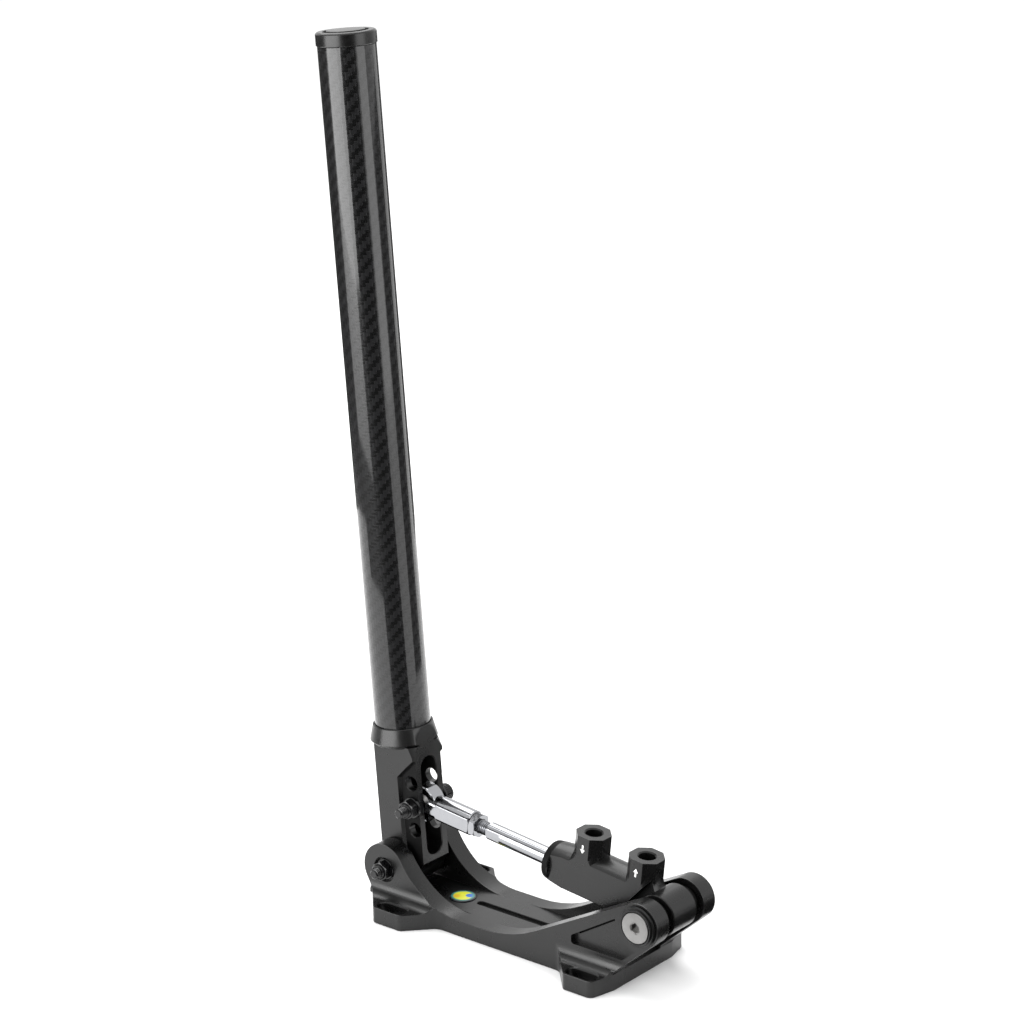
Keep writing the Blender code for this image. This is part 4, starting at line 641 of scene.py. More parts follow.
def makeBaseFrame():
    # milled from one blank, in the order of the real work
    half, cove, tall = base["bodyHalf"], base["coveRadius"], base["blankHeight"]
    floorZ, far = base["thickness"], base["footHalf"] + 10.0
    plate = milled("baseFrame", planOutline(), 0.0, tall)
    wide = half + 2.0
    machine(plate, boxTool("leftEnd", (-100, -wide, floorZ + 0.3),
                           (-base["slotX"], wide, tall + 1)), "UNION")
    machine(plate, boxTool("rightEnd", (base["slotX"], -wide, floorZ + 0.3),
                           (113, wide, tall + 1)), "UNION")
    leverTop, cylinderTop = leverEarTop(), cylinderEarTop()
    sideView = ([(base["left"], -1.0)] + leverTop + cylinderTop + [(base["right"], -1.0)])
    machine(plate, milled("sideView", sideView, -far, far, "Y"), "INTERSECT")
    for side in (-1, 1):
        section = arcPoints((half + cove, floorZ + cove), cove, pi, 1.5 * pi, 7.5)
        section += [(far, floorZ), (far, tall + 3), (half, tall + 3)]
        for low, high in ((-105.0, -35.25), (36.25, 120.0)):
            machine(plate, milled("footCutter", [(side * y, z) for y, z in section], low, high,
                                  "X"))
    inner = base["leverEarInner"]
    machine(plate, boxTool("leverChannel", (-105, -inner, floorZ), (leverTop[-1][0] + 1, inner,
                                                                    tall)))
    inner = base["cylinderEarInner"]
    machine(plate, boxTool("cylinderChannel", (cylinderTop[0][0] - 1, -inner, floorZ),
                           (118, inner, tall)))
    cleanFlats(plate, 0.12)
    breakEdges(plate, base["edge"], 38.0)
    dropStrays(plate, base["footHalf"] + 0.05)
    for side in (-1, 1):
        face = side * half
        depth = base["pocketDepth"]
        machine(plate, milled("pocket", pocketOutline(), face - side * depth,
                              face + side * 2.0, "Y"))
        machine(plate, milled("pocketLine", pocketLine(),
                              face - side * (depth + base["lineDeep"]),
                              face - side * (depth - 0.5), "Y"))
        x, z = layout["leverPivot"]
        seat = [(0.0, half - base["counterboreDepth"]), (base["counterbore"],
                half - base["counterboreDepth"]), (base["counterbore"], half - 0.4),
                (base["counterbore"] + 1.4, half + 1.0), (0.0, half + 1.0)]
        tool = turned("counterbore", seat, "Y", 72, (x, 0, z))
        machine(plate, tool if side > 0 else turnOver(tool))
        for slotX in (-base["slotX"], base["slotX"]):
            def outline(grow, slotX=slotX, side=side):
                return slotOutline(base["slotLength"] + 2 * grow, base["slotWidth"] + 2 * grow,
                                   (slotX, side * base["slotY"]))
            machine(plate, sunkTool("slot", outline, -1.0, base["thickness"], 0.5))
    for (x, z), radius in ((layout["leverPivot"], 3.3), (layout["cylinderPivot"], 8.9)):
        rim = [(0.0, -60.0), (radius, -60.0), (radius, 60.0), (0.0, 60.0)]
        machine(plate, turned("bore", rim, "Y", 64, (x, 0, z)))
    middle = (base["grooveLeft"] + base["grooveRight"]) / 2
    length = base["grooveRight"] - base["grooveLeft"] + base["grooveWidth"]

    def groove(grow):
        return slotOutline(length + 2 * grow, base["grooveWidth"] + 2 * grow, (middle, 0))
    machine(plate, sunkTool("groove", groove, base["thickness"] - base["grooveDepth"],
                            base["thickness"], 0.3))
    recess = badgeValues["radius"] + 0.3
    seat = [(0.0, base["thickness"] - 0.5), (recess, base["thickness"] - 0.5),
            (recess, base["thickness"] + 2.0), (0.0, base["thickness"] + 2.0)]
    machine(plate, turned("badgeSeat", seat, "Z", 64, (badgeValues["x"], 0, 0)))
    shade(plate, 30.0)
    # painted shade: the floors of the narrow lines under the pockets' upper walls get the matt
    # black, darker than the frame
    lineFloor = half - base["pocketDepth"] - base["lineDeep"]
    shadedLineFaces = [face.index for face in plate.data.polygons if abs(face.normal.y) > 0.9
                 and abs(abs(face.center.y) / mm - lineFloor) < 0.05]
    fitPiece(plate, "base", "base", black, "anodised", "base_frame")
    paintShade(plate, shadeBlack, shadedLineFaces)


def makeBadge():
    low = base["thickness"] - 0.2
    radius = badgeValues["radius"]
    profile = [(0.0, low), (radius, low), (radius, low + 0.6), (radius - 0.3, low + 0.9),
               (radius * 0.5, low + 0.95), (0.0, low + 0.97)]
    badge = turned("floorBadge", profile, "Z", 64, (badgeValues["x"], 0, 0))
    fitPiece(shade(badge), "base", "base", badgeInk, "badge", "floor_badge")


makeBaseFrame()
makeBadge()
print("base frame made")

# Bolts, nuts and washers of the two bolted joints
fastener = {"radius": 3.0, "pitch": 1.0, "headRadius": 5.1, "headHeight": 6.0, "socket": 5.0,
            "socketDepth": 3.0, "nutFlats": 10.0, "nutHex": 4.4, "nutCollar": 1.6,
            "collarRadius": 4.5, "washerRadius": 6.1, "washer": 1.6, "teeth": 26}


def threadRidge(name, radius, pitch, low, high, along):
    # a V section screwed round the core, as a die leaves it
    depth = 0.55 * pitch
    points = [(radius - depth - 0.15, 0, -0.45 * pitch), (radius, 0, -0.06 * pitch),
              (radius, 0, 0.06 * pitch), (radius - depth - 0.15, 0, 0.45 * pitch)]
    piece = drawChain(name, points + [points[0]])
    closeUp(piece, 0.0001)
    selectOnly(piece)
    bpy.ops.object.modifier_add(type="SCREW")
    step = piece.modifiers[-1]
    turns = int((high - low) / pitch)
    step.steps = step.render_steps = 32
    step.iterations = turns
    step.screw_offset = pitch * mm
    step.use_merge_vertices = False
    bpy.ops.object.modifier_apply(modifier=step.name)
    bpy.ops.object.mode_set(mode="EDIT")
    bpy.ops.mesh.select_all(action="SELECT")
    bpy.ops.mesh.remove_doubles(threshold=0.001 * mm)
    bpy.ops.mesh.normals_make_consistent(inside=False)
    bpy.ops.object.mode_set(mode="OBJECT")
    start = low + (high - low - turns * pitch) / 2
    turnPiece(piece, move=(0, 0, start))
    return turnPiece(piece, x=-pi / 2 if along == "Y" else 0.0,
                     y=pi / 2 if along == "X" else 0.0)


def makeBolt(name, headY, tipY, centre, seat, body, node):
    # a socket head screw along Y: knurled head at the far side, threaded tip at the near side
    radius = fastener["radius"]
    core = radius - 0.5
    top = headY + fastener["headHeight"]
    shank = [(0.0, -tipY), (core - 0.4, -tipY), (core, 0.5 - tipY), (core, 12.0 - tipY),
             (radius, 12.3 - tipY), (radius, headY), (0.0, headY)]
    shaft = turned(name, shank, "Y", 48)
    ridge = threadRidge("thread", radius, fastener["pitch"], 0.3 - tipY, 12.5 - tipY, "Y")
    rim = []
    for i in range(fastener["teeth"]):
        for part, grow in ((0.0, 0.0), (0.3, 0.0), (0.5, -0.4), (0.8, -0.4)):
            turn = 2 * pi * (i + part) / fastener["teeth"]
            reach = fastener["headRadius"] + grow
            rim.append((reach * cos(turn), reach * sin(turn)))
    head = milled("head", rim, headY, top, "Y")
    wide = fastener["headRadius"]
    trim = [(0.0, headY - 1), (wide - 0.35, headY - 1), (wide - 0.35, headY),
            (wide + 0.1, headY + 0.45), (wide + 0.1, top - 0.7), (wide - 0.6, top), (0.0, top)]
    machine(head, turned("trim", trim, "Y", 72), "INTERSECT")
    machine(head, milled("socket", polygonOutline(fastener["socket"], 6), top -
                         fastener["socketDepth"], top + 1.0, "Y"))
    bolt = joinPieces(name, [shaft, ridge, head])
    turnPiece(bolt, move=centre)
    fitPiece(shade(bolt, 35.0), seat, body, blackSteel, "black_steel", node)


def makeNut(name, seatY, centre, seat, body, node):
    # a locking nut with its round collar outwards, at the near side
    outer = -(seatY + fastener["nutHex"])
    flats = fastener["nutFlats"]
    nut = milled(name, polygonOutline(flats, 6, pi / 6), outer, -seatY, "Y")
    trim = [(0.0, outer), (flats / 2 - 0.1, outer), (flats / 2 + 1.4, outer + 0.85),
            (flats / 2 + 1.4, -seatY - 0.6), (flats / 2 + 0.2, -seatY), (0.0, -seatY)]
    machine(nut, turned("trim", trim, "Y", 72), "INTERSECT")
    collar, tip = fastener["collarRadius"], outer - fastener["nutCollar"]
    ring = [(0.0, tip + 0.5), (collar - 1.1, tip + 0.3), (collar - 0.8, tip),
            (collar - 0.45, tip + 0.05), (collar, tip + 0.5), (collar, -seatY - 0.3),
            (0.0, -seatY - 0.3)]
    machine(nut, turned("collar", ring, "Y", 64), "UNION")
    bore = [(0.0, tip - 1), (3.05, tip - 1), (3.05, 1 - seatY), (0.0, 1 - seatY)]
    machine(nut, turned("thread", bore, "Y", 40))
    turnPiece(nut, move=centre)
    fitPiece(shade(nut, 35.0), seat, body, blackSteel, "black_steel", node)


def ringProfile(inner, outer, low, high, edge=0.25):
    return [(inner, low), (outer - edge, low), (outer, low + edge), (outer, high - edge),
            (outer - edge, high), (inner, high)]


def makePair(name, profile, centre, seat, body, finish, slotName, node, steps=64):
    far = shade(turned(name + "Far", profile, "Y", steps, centre))
    near = shade(mirrorAcross(far, name + "Near"))
    fitPiece(far, seat, body, finish, slotName, node + "_far")
    fitPiece(near, seat, body, finish, slotName, node + "_near")


def makeFasteners():
    x, z = layout["leverPivot"]
    washer = base["bodyHalf"] - base["counterboreDepth"] + 0.3
    seatY = washer + fastener["washer"] + 0.3
    makeBolt("leverPivotBolt", seatY, 35.0, (x, 0, z), "base", "base", "lever_pivot_bolt")
    makeNut("leverPivotNut", seatY, (x, 0, z), "base", "base", "lever_pivot_nut")
    makePair("leverPivotWasher", ringProfile(3.3, fastener["washerRadius"], washer,
             washer + fastener["washer"]), (x, 0, z), "base", "base", blackSteel,
             "black_steel", "lever_pivot_washer")
    centre = (layout["holeX"], 0, layout["holeW"])
    washer = fork["cheekY"] + 0.3
    seatY = washer + fastener["washer"] + 0.3
    makeBolt("rodEndBolt", seatY, 24.0, centre, "lever", "lever", "rod_end_bolt")
    makeNut("rodEndNut", seatY, centre, "lever", "lever", "rod_end_nut")
    makePair("rodEndWasher", ringProfile(3.3, fastener["washerRadius"], washer,
             washer + fastener["washer"]), centre, "lever", "lever", blackSteel,
             "black_steel", "rod_end_washer")


# The lever fork with its collar
fork = {
    "backRadius": 17.6, "frontX": 17.0, "sideY": 13.0, "bottomRadius": 14.0,
    "frontBottom": 1.0, "backBottom": 5.0, "cornerCut": 3.0, "cheekY": 10.8, "pocketX": 3.0,
    "pocketTop": 65.0, "shoulder": 53.0, "pocketSlope": 2.4, "bossRadius": 10.0,
    "slotHalf": 6.3, "slotTop": 63.0, "slotBottom": 4.0, "slotBack": -3.0,
    "shallowSlot": 6.5, "deepBottom": 7.0, "holeRadius": 4.2, "collarTop": 81.5,
    "collarRadius": 17.1, "flare": 0.25, "ringBottom": 72.5, "ringStep": 2.6,
    "coneBottom": 65.0, "cornerTop": 72.0, "cornerRadius": 18.8, "socketDepth": 5.5,
}


def makeFork():
    tube = carbonValues["tube"]
    low = -fork["bottomRadius"] - 1.0

    def reach(w):
        return fork["collarRadius"] + fork["flare"] * (fork["collarTop"] - w)
    top, widest = fork["collarTop"], reach(fork["coneBottom"])
    wide = 2 * fork["backRadius"]
    floorW = top - fork["socketDepth"]
    blank = [(0.0, low), (widest, low), (widest, fork["coneBottom"]),
             (fork["cornerRadius"], fork["cornerTop"]),
             (reach(fork["cornerTop"]), fork["cornerTop"]),
             (fork["collarRadius"] + 0.1, top - 0.35), (fork["collarRadius"] - 0.25, top),
             (tube + 0.3, top), (tube + 0.3, floorW - 0.3), (14.1, floorW - 0.3),
             (14.1, floorW + 29.7), (11.1, floorW + 29.7), (11.1, 74.5), (0.0, 74.5)]
    piece = turned("leverFork", blank, "Z", 120)
    ring = reach(fork["ringBottom"]) - fork["ringStep"]
    step = fork["ringBottom"] - fork["ringStep"]
    waste = turned("waste", [(0.0, low - 2), (wide, low - 2), (wide, step + wide - ring),
                             (ring, step), (0.0, step)], "Z", 120)
    turn = acos(fork["sideY"] / fork["backRadius"])
    section = arcPoints((0, 0), fork["backRadius"], pi / 2 + turn, 3 * pi / 2 - turn, 3.0)
    section += [(fork["frontX"] + 6, -fork["sideY"]), (fork["frontX"] + 6, fork["sideY"])]
    machine(waste, milled("section", section, low - 3, step + 1))
    machine(piece, waste)
    machine(piece, milled("front", [(fork["frontX"], -40), (40, -40), (40, 40),
                                    (fork["frontX"], 40)], low - 2, top + 1))
    start, end = pi, -atan2(fork["cornerCut"], fork["bottomRadius"])
    below = [(-wide, fork["backBottom"]), (-fork["backRadius"], fork["backBottom"])]
    below += arcPoints((0, 0), fork["bottomRadius"], start, 2 * pi + end, 4.0)
    below += [(fork["frontX"], fork["frontBottom"]), (wide, fork["frontBottom"]),
              (wide, -wide), (-wide, -wide)]
    machine(piece, milled("below", below, -wide, wide, "Y"))
    for side in (-1, 1):
        machine(piece, sidePocket(side))
    for back, bottom in ((fork["slotBack"], fork["deepBottom"]),
                         (fork["shallowSlot"], fork["slotBottom"])):
        def outline(grow, bottom=bottom):
            half = fork["slotHalf"] + grow
            upper, lower = fork["slotTop"] + grow, bottom - grow
            points = arcPoints((upper - half, 0), half, -pi / 2, pi / 2, 7.5)
            points += arcPoints((lower + half, 0), half, pi / 2, 3 * pi / 2, 7.5)
            return [(y, w) for w, y in points]
        machine(piece, sunkTool("slot", outline, back, fork["frontX"], 0.5, "X", 2.0))
    for place in (-1, 0, 1):
        w = layout["holeW"] + place * layout["holePitch"]
        radius, face = fork["holeRadius"], fork["cheekY"]
        rim = [(0.0, -face - 2.4), (radius + 2.8, -face - 2.4), (radius, 0.4 - face),
               (radius, face - 0.4), (radius + 2.8, face + 2.4), (0.0, face + 2.4)]
        machine(piece, turned("hole", rim, "Y", 56, (layout["holeX"], 0, w)))
    machine(piece, turned("bore", [(0.0, -30), (4.5, -30), (4.5, 30), (0.0, 30)], "Y", 48))
    shade(cleanFlats(piece), 30.0)
    # painted shade: the pocket floors at the cheeks get the matt black, darker than the fork
    cheek = fork["cheekY"]
    shadedCheekFaces = [face.index for face in piece.data.polygons
              if abs(face.normal.y) > 0.9 and cheek - 0.5 < abs(face.center.y) / mm < cheek + 0.1]
    fitPiece(piece, "lever", "lever", black, "anodised", "lever_fork")
    paintShade(piece, shadeBlack, shadedCheekFaces)


def sidePocket(side):
    # the milled side with a sloped back wall and a diagonal top; leaves a boss at the pivot
    front = fork["frontX"] + 4.0
    rise = (fork["pocketTop"] - fork["shoulder"]) / (fork["frontX"] - fork["pocketX"])
    top = fork["pocketTop"] + rise * 4.0
    face, outer = side * fork["cheekY"], side * (fork["sideY"] + 2.0)
    slope = fork["pocketSlope"]
    outline = [(fork["pocketX"], -28.0), (fork["pocketX"], fork["shoulder"]), (front, top),
               (front, -28.0)]
    pocket = milled("pocket", outline, outer, face, "Y")
    for vertex in pocket.data.vertices:
        if abs(vertex.co.y / mm - face) < 0.01:
            if vertex.co.x / mm < fork["pocketX"] + 0.1:
                vertex.co.x += slope * mm
            if vertex.co.z / mm > fork["shoulder"] - 0.1:
                vertex.co.z -= slope * mm * (0.5 if vertex.co.x / mm < front - 0.1 else 1.0)
    boss = [(0.0, -40), (fork["bossRadius"], -40), (fork["bossRadius"], 40), (0.0, 40)]
    return machine(pocket, turned("boss", boss, "Y", 72))


makeFork()
makeFasteners()
print("lever fork and fasteners made")

# The handle tube and its cap
handle = {"radius": 16.0, "wall": 1.6, "bottom": 76.0, "capBottom": 463.7, "capRadius": 16.6,
          "capHeight": 7.4, "capChamfer": 0.9, "dishRadius": 12.6, "dishDepth": 1.2,
          "discRadius": 10.6, "discHeight": 1.3}


def wrapWeave(piece):
    # the cloth's own coordinates, counted in tows: round the tube, and up it
    tow = 2 * pi * carbonValues["tube"] / carbonValues["towsAround"] * mm
    weave = piece.data.uv_layers.new(name="weave")
    for face in piece.data.polygons:
        middle = atan2(face.center.y, face.center.x)
        for corner in face.loop_indices:
            spot = piece.data.vertices[piece.data.loops[corner].vertex_index].co
            turn = atan2(spot.y, spot.x)
            turn += 2 * pi * round((middle - turn) / (2 * pi))
            weave.data[corner].uv = (turn / (2 * pi) * carbonValues["towsAround"],
                                     spot.z / tow)


def makeHandle():
    top = handle["capBottom"] - 0.3
    inner = handle["radius"] - handle["wall"]
    low = handle["bottom"]
    profile = [(inner, low), (handle["radius"], low), (handle["radius"], top), (inner, top)]
    tube = turned("handleTube", profile, "Z", 128)
    wrapWeave(tube)
    fitPiece(shade(tube), "lever", "lever", carbon, "carbon", "handle_tube")
    bottom, high = handle["capBottom"], handle["capBottom"] + handle["capHeight"]
    radius, edge, dish = handle["capRadius"], handle["capChamfer"], handle["dishRadius"]
    floorW = high - handle["dishDepth"]
    profile = [(0.0, bottom - 14.0), (inner - 0.3, bottom - 14.0), (inner - 0.3, bottom),
               (radius - 0.4, bottom), (radius, bottom + 0.4), (radius, high - edge - 0.3),
               (radius - 0.25, high - edge + 0.2), (radius - edge, high - 0.12),
               (radius - edge - 0.4, high), (dish + 0.3, high), (dish, high - 0.3),
               (dish, floorW), (0.0, floorW)]
    cap = turned("topCap", profile, "Z", 96)
    fitPiece(shade(cap), "lever", "lever", black, "anodised", "top_cap")
    disc, low = handle["discRadius"], floorW + 0.3
    profile = [(0.0, low), (disc, low), (disc, low + handle["discHeight"] - 0.3),
               (disc - 0.3, low + handle["discHeight"]), (0.0, low + handle["discHeight"])]
    plate = turned("capDisc", profile, "Z", 96)
    fitPiece(shade(plate), "lever", "lever", black, "anodised", "cap_disc")


makeHandle()
print("handle made")

# Rod end, stud and push rod, drawn along X from the ball
rod = {
    "ball": 7.94, "ballHalf": 6.0, "ballBore": 4.0, "ring": 11.2, "ringHalf": 4.7, "rim": 0.8,
    "eye": 9.54, "lip": 7.1, "shank": 7.35, "shankFlats": 12.6, "flats": 13.0,
    "shankEnd": 36.6, "stud": 4.0, "pitch": 1.25,
    "jamNut": 4.4, "start": 48.0, "radius": 5.1, "chamfer": 0.75, "flatLength": 10.0,
    "flatAcross": 9.0,
}


def makeRodEnd():
    face = sqrt(rod["ball"] ** 2 - rod["ballHalf"] ** 2)
    edge = atan2(rod["ballHalf"], face)
    sphere = arcPoints((0, 0), rod["ball"], -edge, edge, 4.0)
    half, bore = rod["ballHalf"], rod["ballBore"]
    profile = [(bore, 0.3 - half), (bore + 0.3, -half)] + sphere
    profile += [(bore + 0.3, half), (bore, half - 0.3)]
    ball = turned("rodEndBall", profile, "Y", 72)
    fitPiece(shade(ball, 40.0), "rod", "rod_end_ball", stainless, "stainless", "rod_end_ball")
    half, ring, rim = rod["ringHalf"], rod["ring"], rod["rim"]
    profile = [(0.0, -half), (ring - rim, -half), (ring - 0.2, rim * 0.6 - half),
               (ring, rim + 0.4 - half), (ring, half - rim - 0.4), (ring - 0.2, half - rim * 0.6),
               (ring - rim, half), (0.0, half)]
    housing = turned("rodEndHousing", profile, "Y", 96)
    # a round shank with a wrench flat at each side
    wide, end = rod["shank"], rod["shankEnd"]
    profile = [(0.0, 5.0), (wide - 0.5, 5.0), (wide - 0.5, ring + 0.8), (wide, ring + 1.6),
               (wide, end - 0.6), (wide - 0.6, end), (0.0, end)]
    shank = turned("shank", profile, "X", 96)
    for side in (-1, 1):
        flat, far = side * rod["shankFlats"] / 2, side * 12.0
        outline = [(0.0, flat), (end + 1, flat), (end + 1, far), (0.0, far)]
        machine(shank, milled("flat", outline, -9.0, 9.0, "Z"))
    machine(housing, shank, "UNION")
    lip, inside = rod["lip"], half - 0.5
    eye = [(0.0, -half - 1), (lip + 1.3, -half - 1), (lip, 0.3 - half), (lip, -inside),
           (rod["eye"], -inside), (rod["eye"], inside), (lip, inside), (lip, half - 0.3),
           (lip + 1.3, half + 1), (0.0, half + 1)]
    machine(housing, turned("eye", eye, "Y", 80))
    hole = [(0.0, end - 14.3), (4.1, end - 14.3), (4.1, end + 1), (0.0, end + 1)]
    machine(housing, turned("thread", hole, "X", 48))
    fitPiece(shade(cleanFlats(housing), 35.0), "rod", "push_rod", zinc, "zinc",
             "rod_end_housing")


def makeStud():
    low, high = rod["shankEnd"] - 14.0, rod["start"] + 12.0
    core = rod["stud"] - 0.62
    profile = [(0.0, low), (core - 0.2, low), (core, low + 0.3), (core, high - 0.3),
               (core - 0.2, high), (0.0, high)]
    stud = joinPieces("threadedStud", [
        turned("threadedStud", profile, "X", 48),
        threadRidge("ridge", rod["stud"], rod["pitch"], low + 0.4, high - 0.4, "X")])
    fitPiece(shade(stud, 30.0), "rod", "push_rod", rolledSteel, "zinc", "threaded_stud")
    start = rod["shankEnd"] + 0.3
    end = start + rod["jamNut"]
    wide = rod["flats"] / 2
    nut = milled("jamNut", polygonOutline(rod["flats"], 6, pi / 6), start, end, "X")
    # past both faces and a degree round, so that no face or corner meets one of the nut's
    trim = [(0.0, start - 0.3), (wide - 0.62, start - 0.3), (wide + 1.2, start + 0.75),
            (wide + 1.2, end - 0.75), (wide - 0.62, end + 0.3), (0.0, end + 0.3)]
    machine(nut, turnPiece(turned("trim", trim, "X", 72), x=radians(1.1)), "INTERSECT")
    bore = [(0.0, start - 1), (5.0, start - 1), (4.05, start + 0.4), (4.05, end - 0.4),
            (5.0, end + 1), (0.0, end + 1)]
    machine(nut, turnPiece(turned("thread", bore, "X", 48), x=radians(1.7)))
    fitPiece(shade(cleanFlats(nut), 35.0), "rod", "push_rod", zinc, "zinc", "jam_nut")


def makePushRod():
    front = rodSpan - layout["cylinderLength"]
    # the rod's collar rests behind the wiper, the snap ring and the stop washer
    stop = front + 0.3 + 2.4 + 0.6 + 1.0 + 0.6 + 1.2 + 0.3
    start, radius, edge = rod["start"], rod["radius"], rod["chamfer"]
    nose, noseRadius = stop + 2.0, 3.6
    profile = [(0.0, start + 12.3), (4.15, start + 12.3), (4.15, start),
               (radius - edge, start), (radius, start + edge), (radius, stop), (7.0, stop),
               (7.0, nose), (noseRadius, nose)]
    profile += [(noseRadius * cos(t), nose + 6.0 - noseRadius * (1 - sin(t)))
                for t in (i * pi / 20 for i in range(10))]
    piece = turned("pushRod", profile + [(0.0, nose + 6.0)], "X", 72)
    for side in (-1, 1):
        flat, far = side * rod["flatAcross"] / 2, side * 12.0
        end = start + rod["flatLength"]
        outline = [(start - 1, flat), (end, flat), (end + 0.35, flat + side * 0.35),
                   (end + 0.35, far), (start - 1, far)]
        machine(piece, milled("flat", outline, -9.0, 9.0, "Z"))
    fitPiece(shade(cleanFlats(piece), 30.0), "rod", "push_rod", turnedZinc, "zinc", "pushrod")


makeRodEnd()
makeStud()
makePushRod()
print("rod end and push rod made")

# The master cylinder, on the same line as the rod
cylinder = {
    "radius": 12.8, "flatY": 9.25, "nose": 11.2, "noseRing": 4.6,
    "taper": 12.0, "bore": 8.0, "frontPort": 53.0, "rearPort": 16.7, "portHeight": 26.3,
    "portFlats": 18.7, "holeRadius": 4.7, "holeChamfer": 0.7, "holeFloor": 13.5,
    "skirt": 5.0, "skirtRise": 11.0, "skirtFoot": 8.5, "saddleLift": 2.4,
    "neckHalf": 4.8, "neckTop": 11.1, "neckLow": 27.5, "barrel": 12.0,
    "barrelHalf": 10.0, "pinBore": 8.2, "rearTaper": 10.9, "portPassage": 1.3,
    "borePassage": 1.9,
}


def portBoss(x):
    # an eight-sided boss on a round flare that runs out into the sides
    half, skirt, rise = cylinder["portFlats"] / 2, cylinder["skirt"], cylinder["skirtRise"]
    foot = cylinder["skirtFoot"]
    outline = polygonOutline(cylinder["portFlats"], 8, pi / 8, (x, 0))
    # no face, edge or corner lies on one of the body's, so every cut closes
    piece = milled("port", outline, 0.43, cylinder["portHeight"], "Z")
    profile = [(0.0, -1.27), (half + skirt, -1.27)]
    for i in range(13):
        turn = radians(i * 7.5)
        profile.append((half + skirt * (1 - sin(turn)), foot + rise * (1 - cos(turn))))
    profile.append((0.0, foot + rise))
    flare = turnPiece(turned("flare", profile, "Z", 90), z=radians(1.3), move=(x, 0, 0))
    return machine(piece, flare, "UNION")


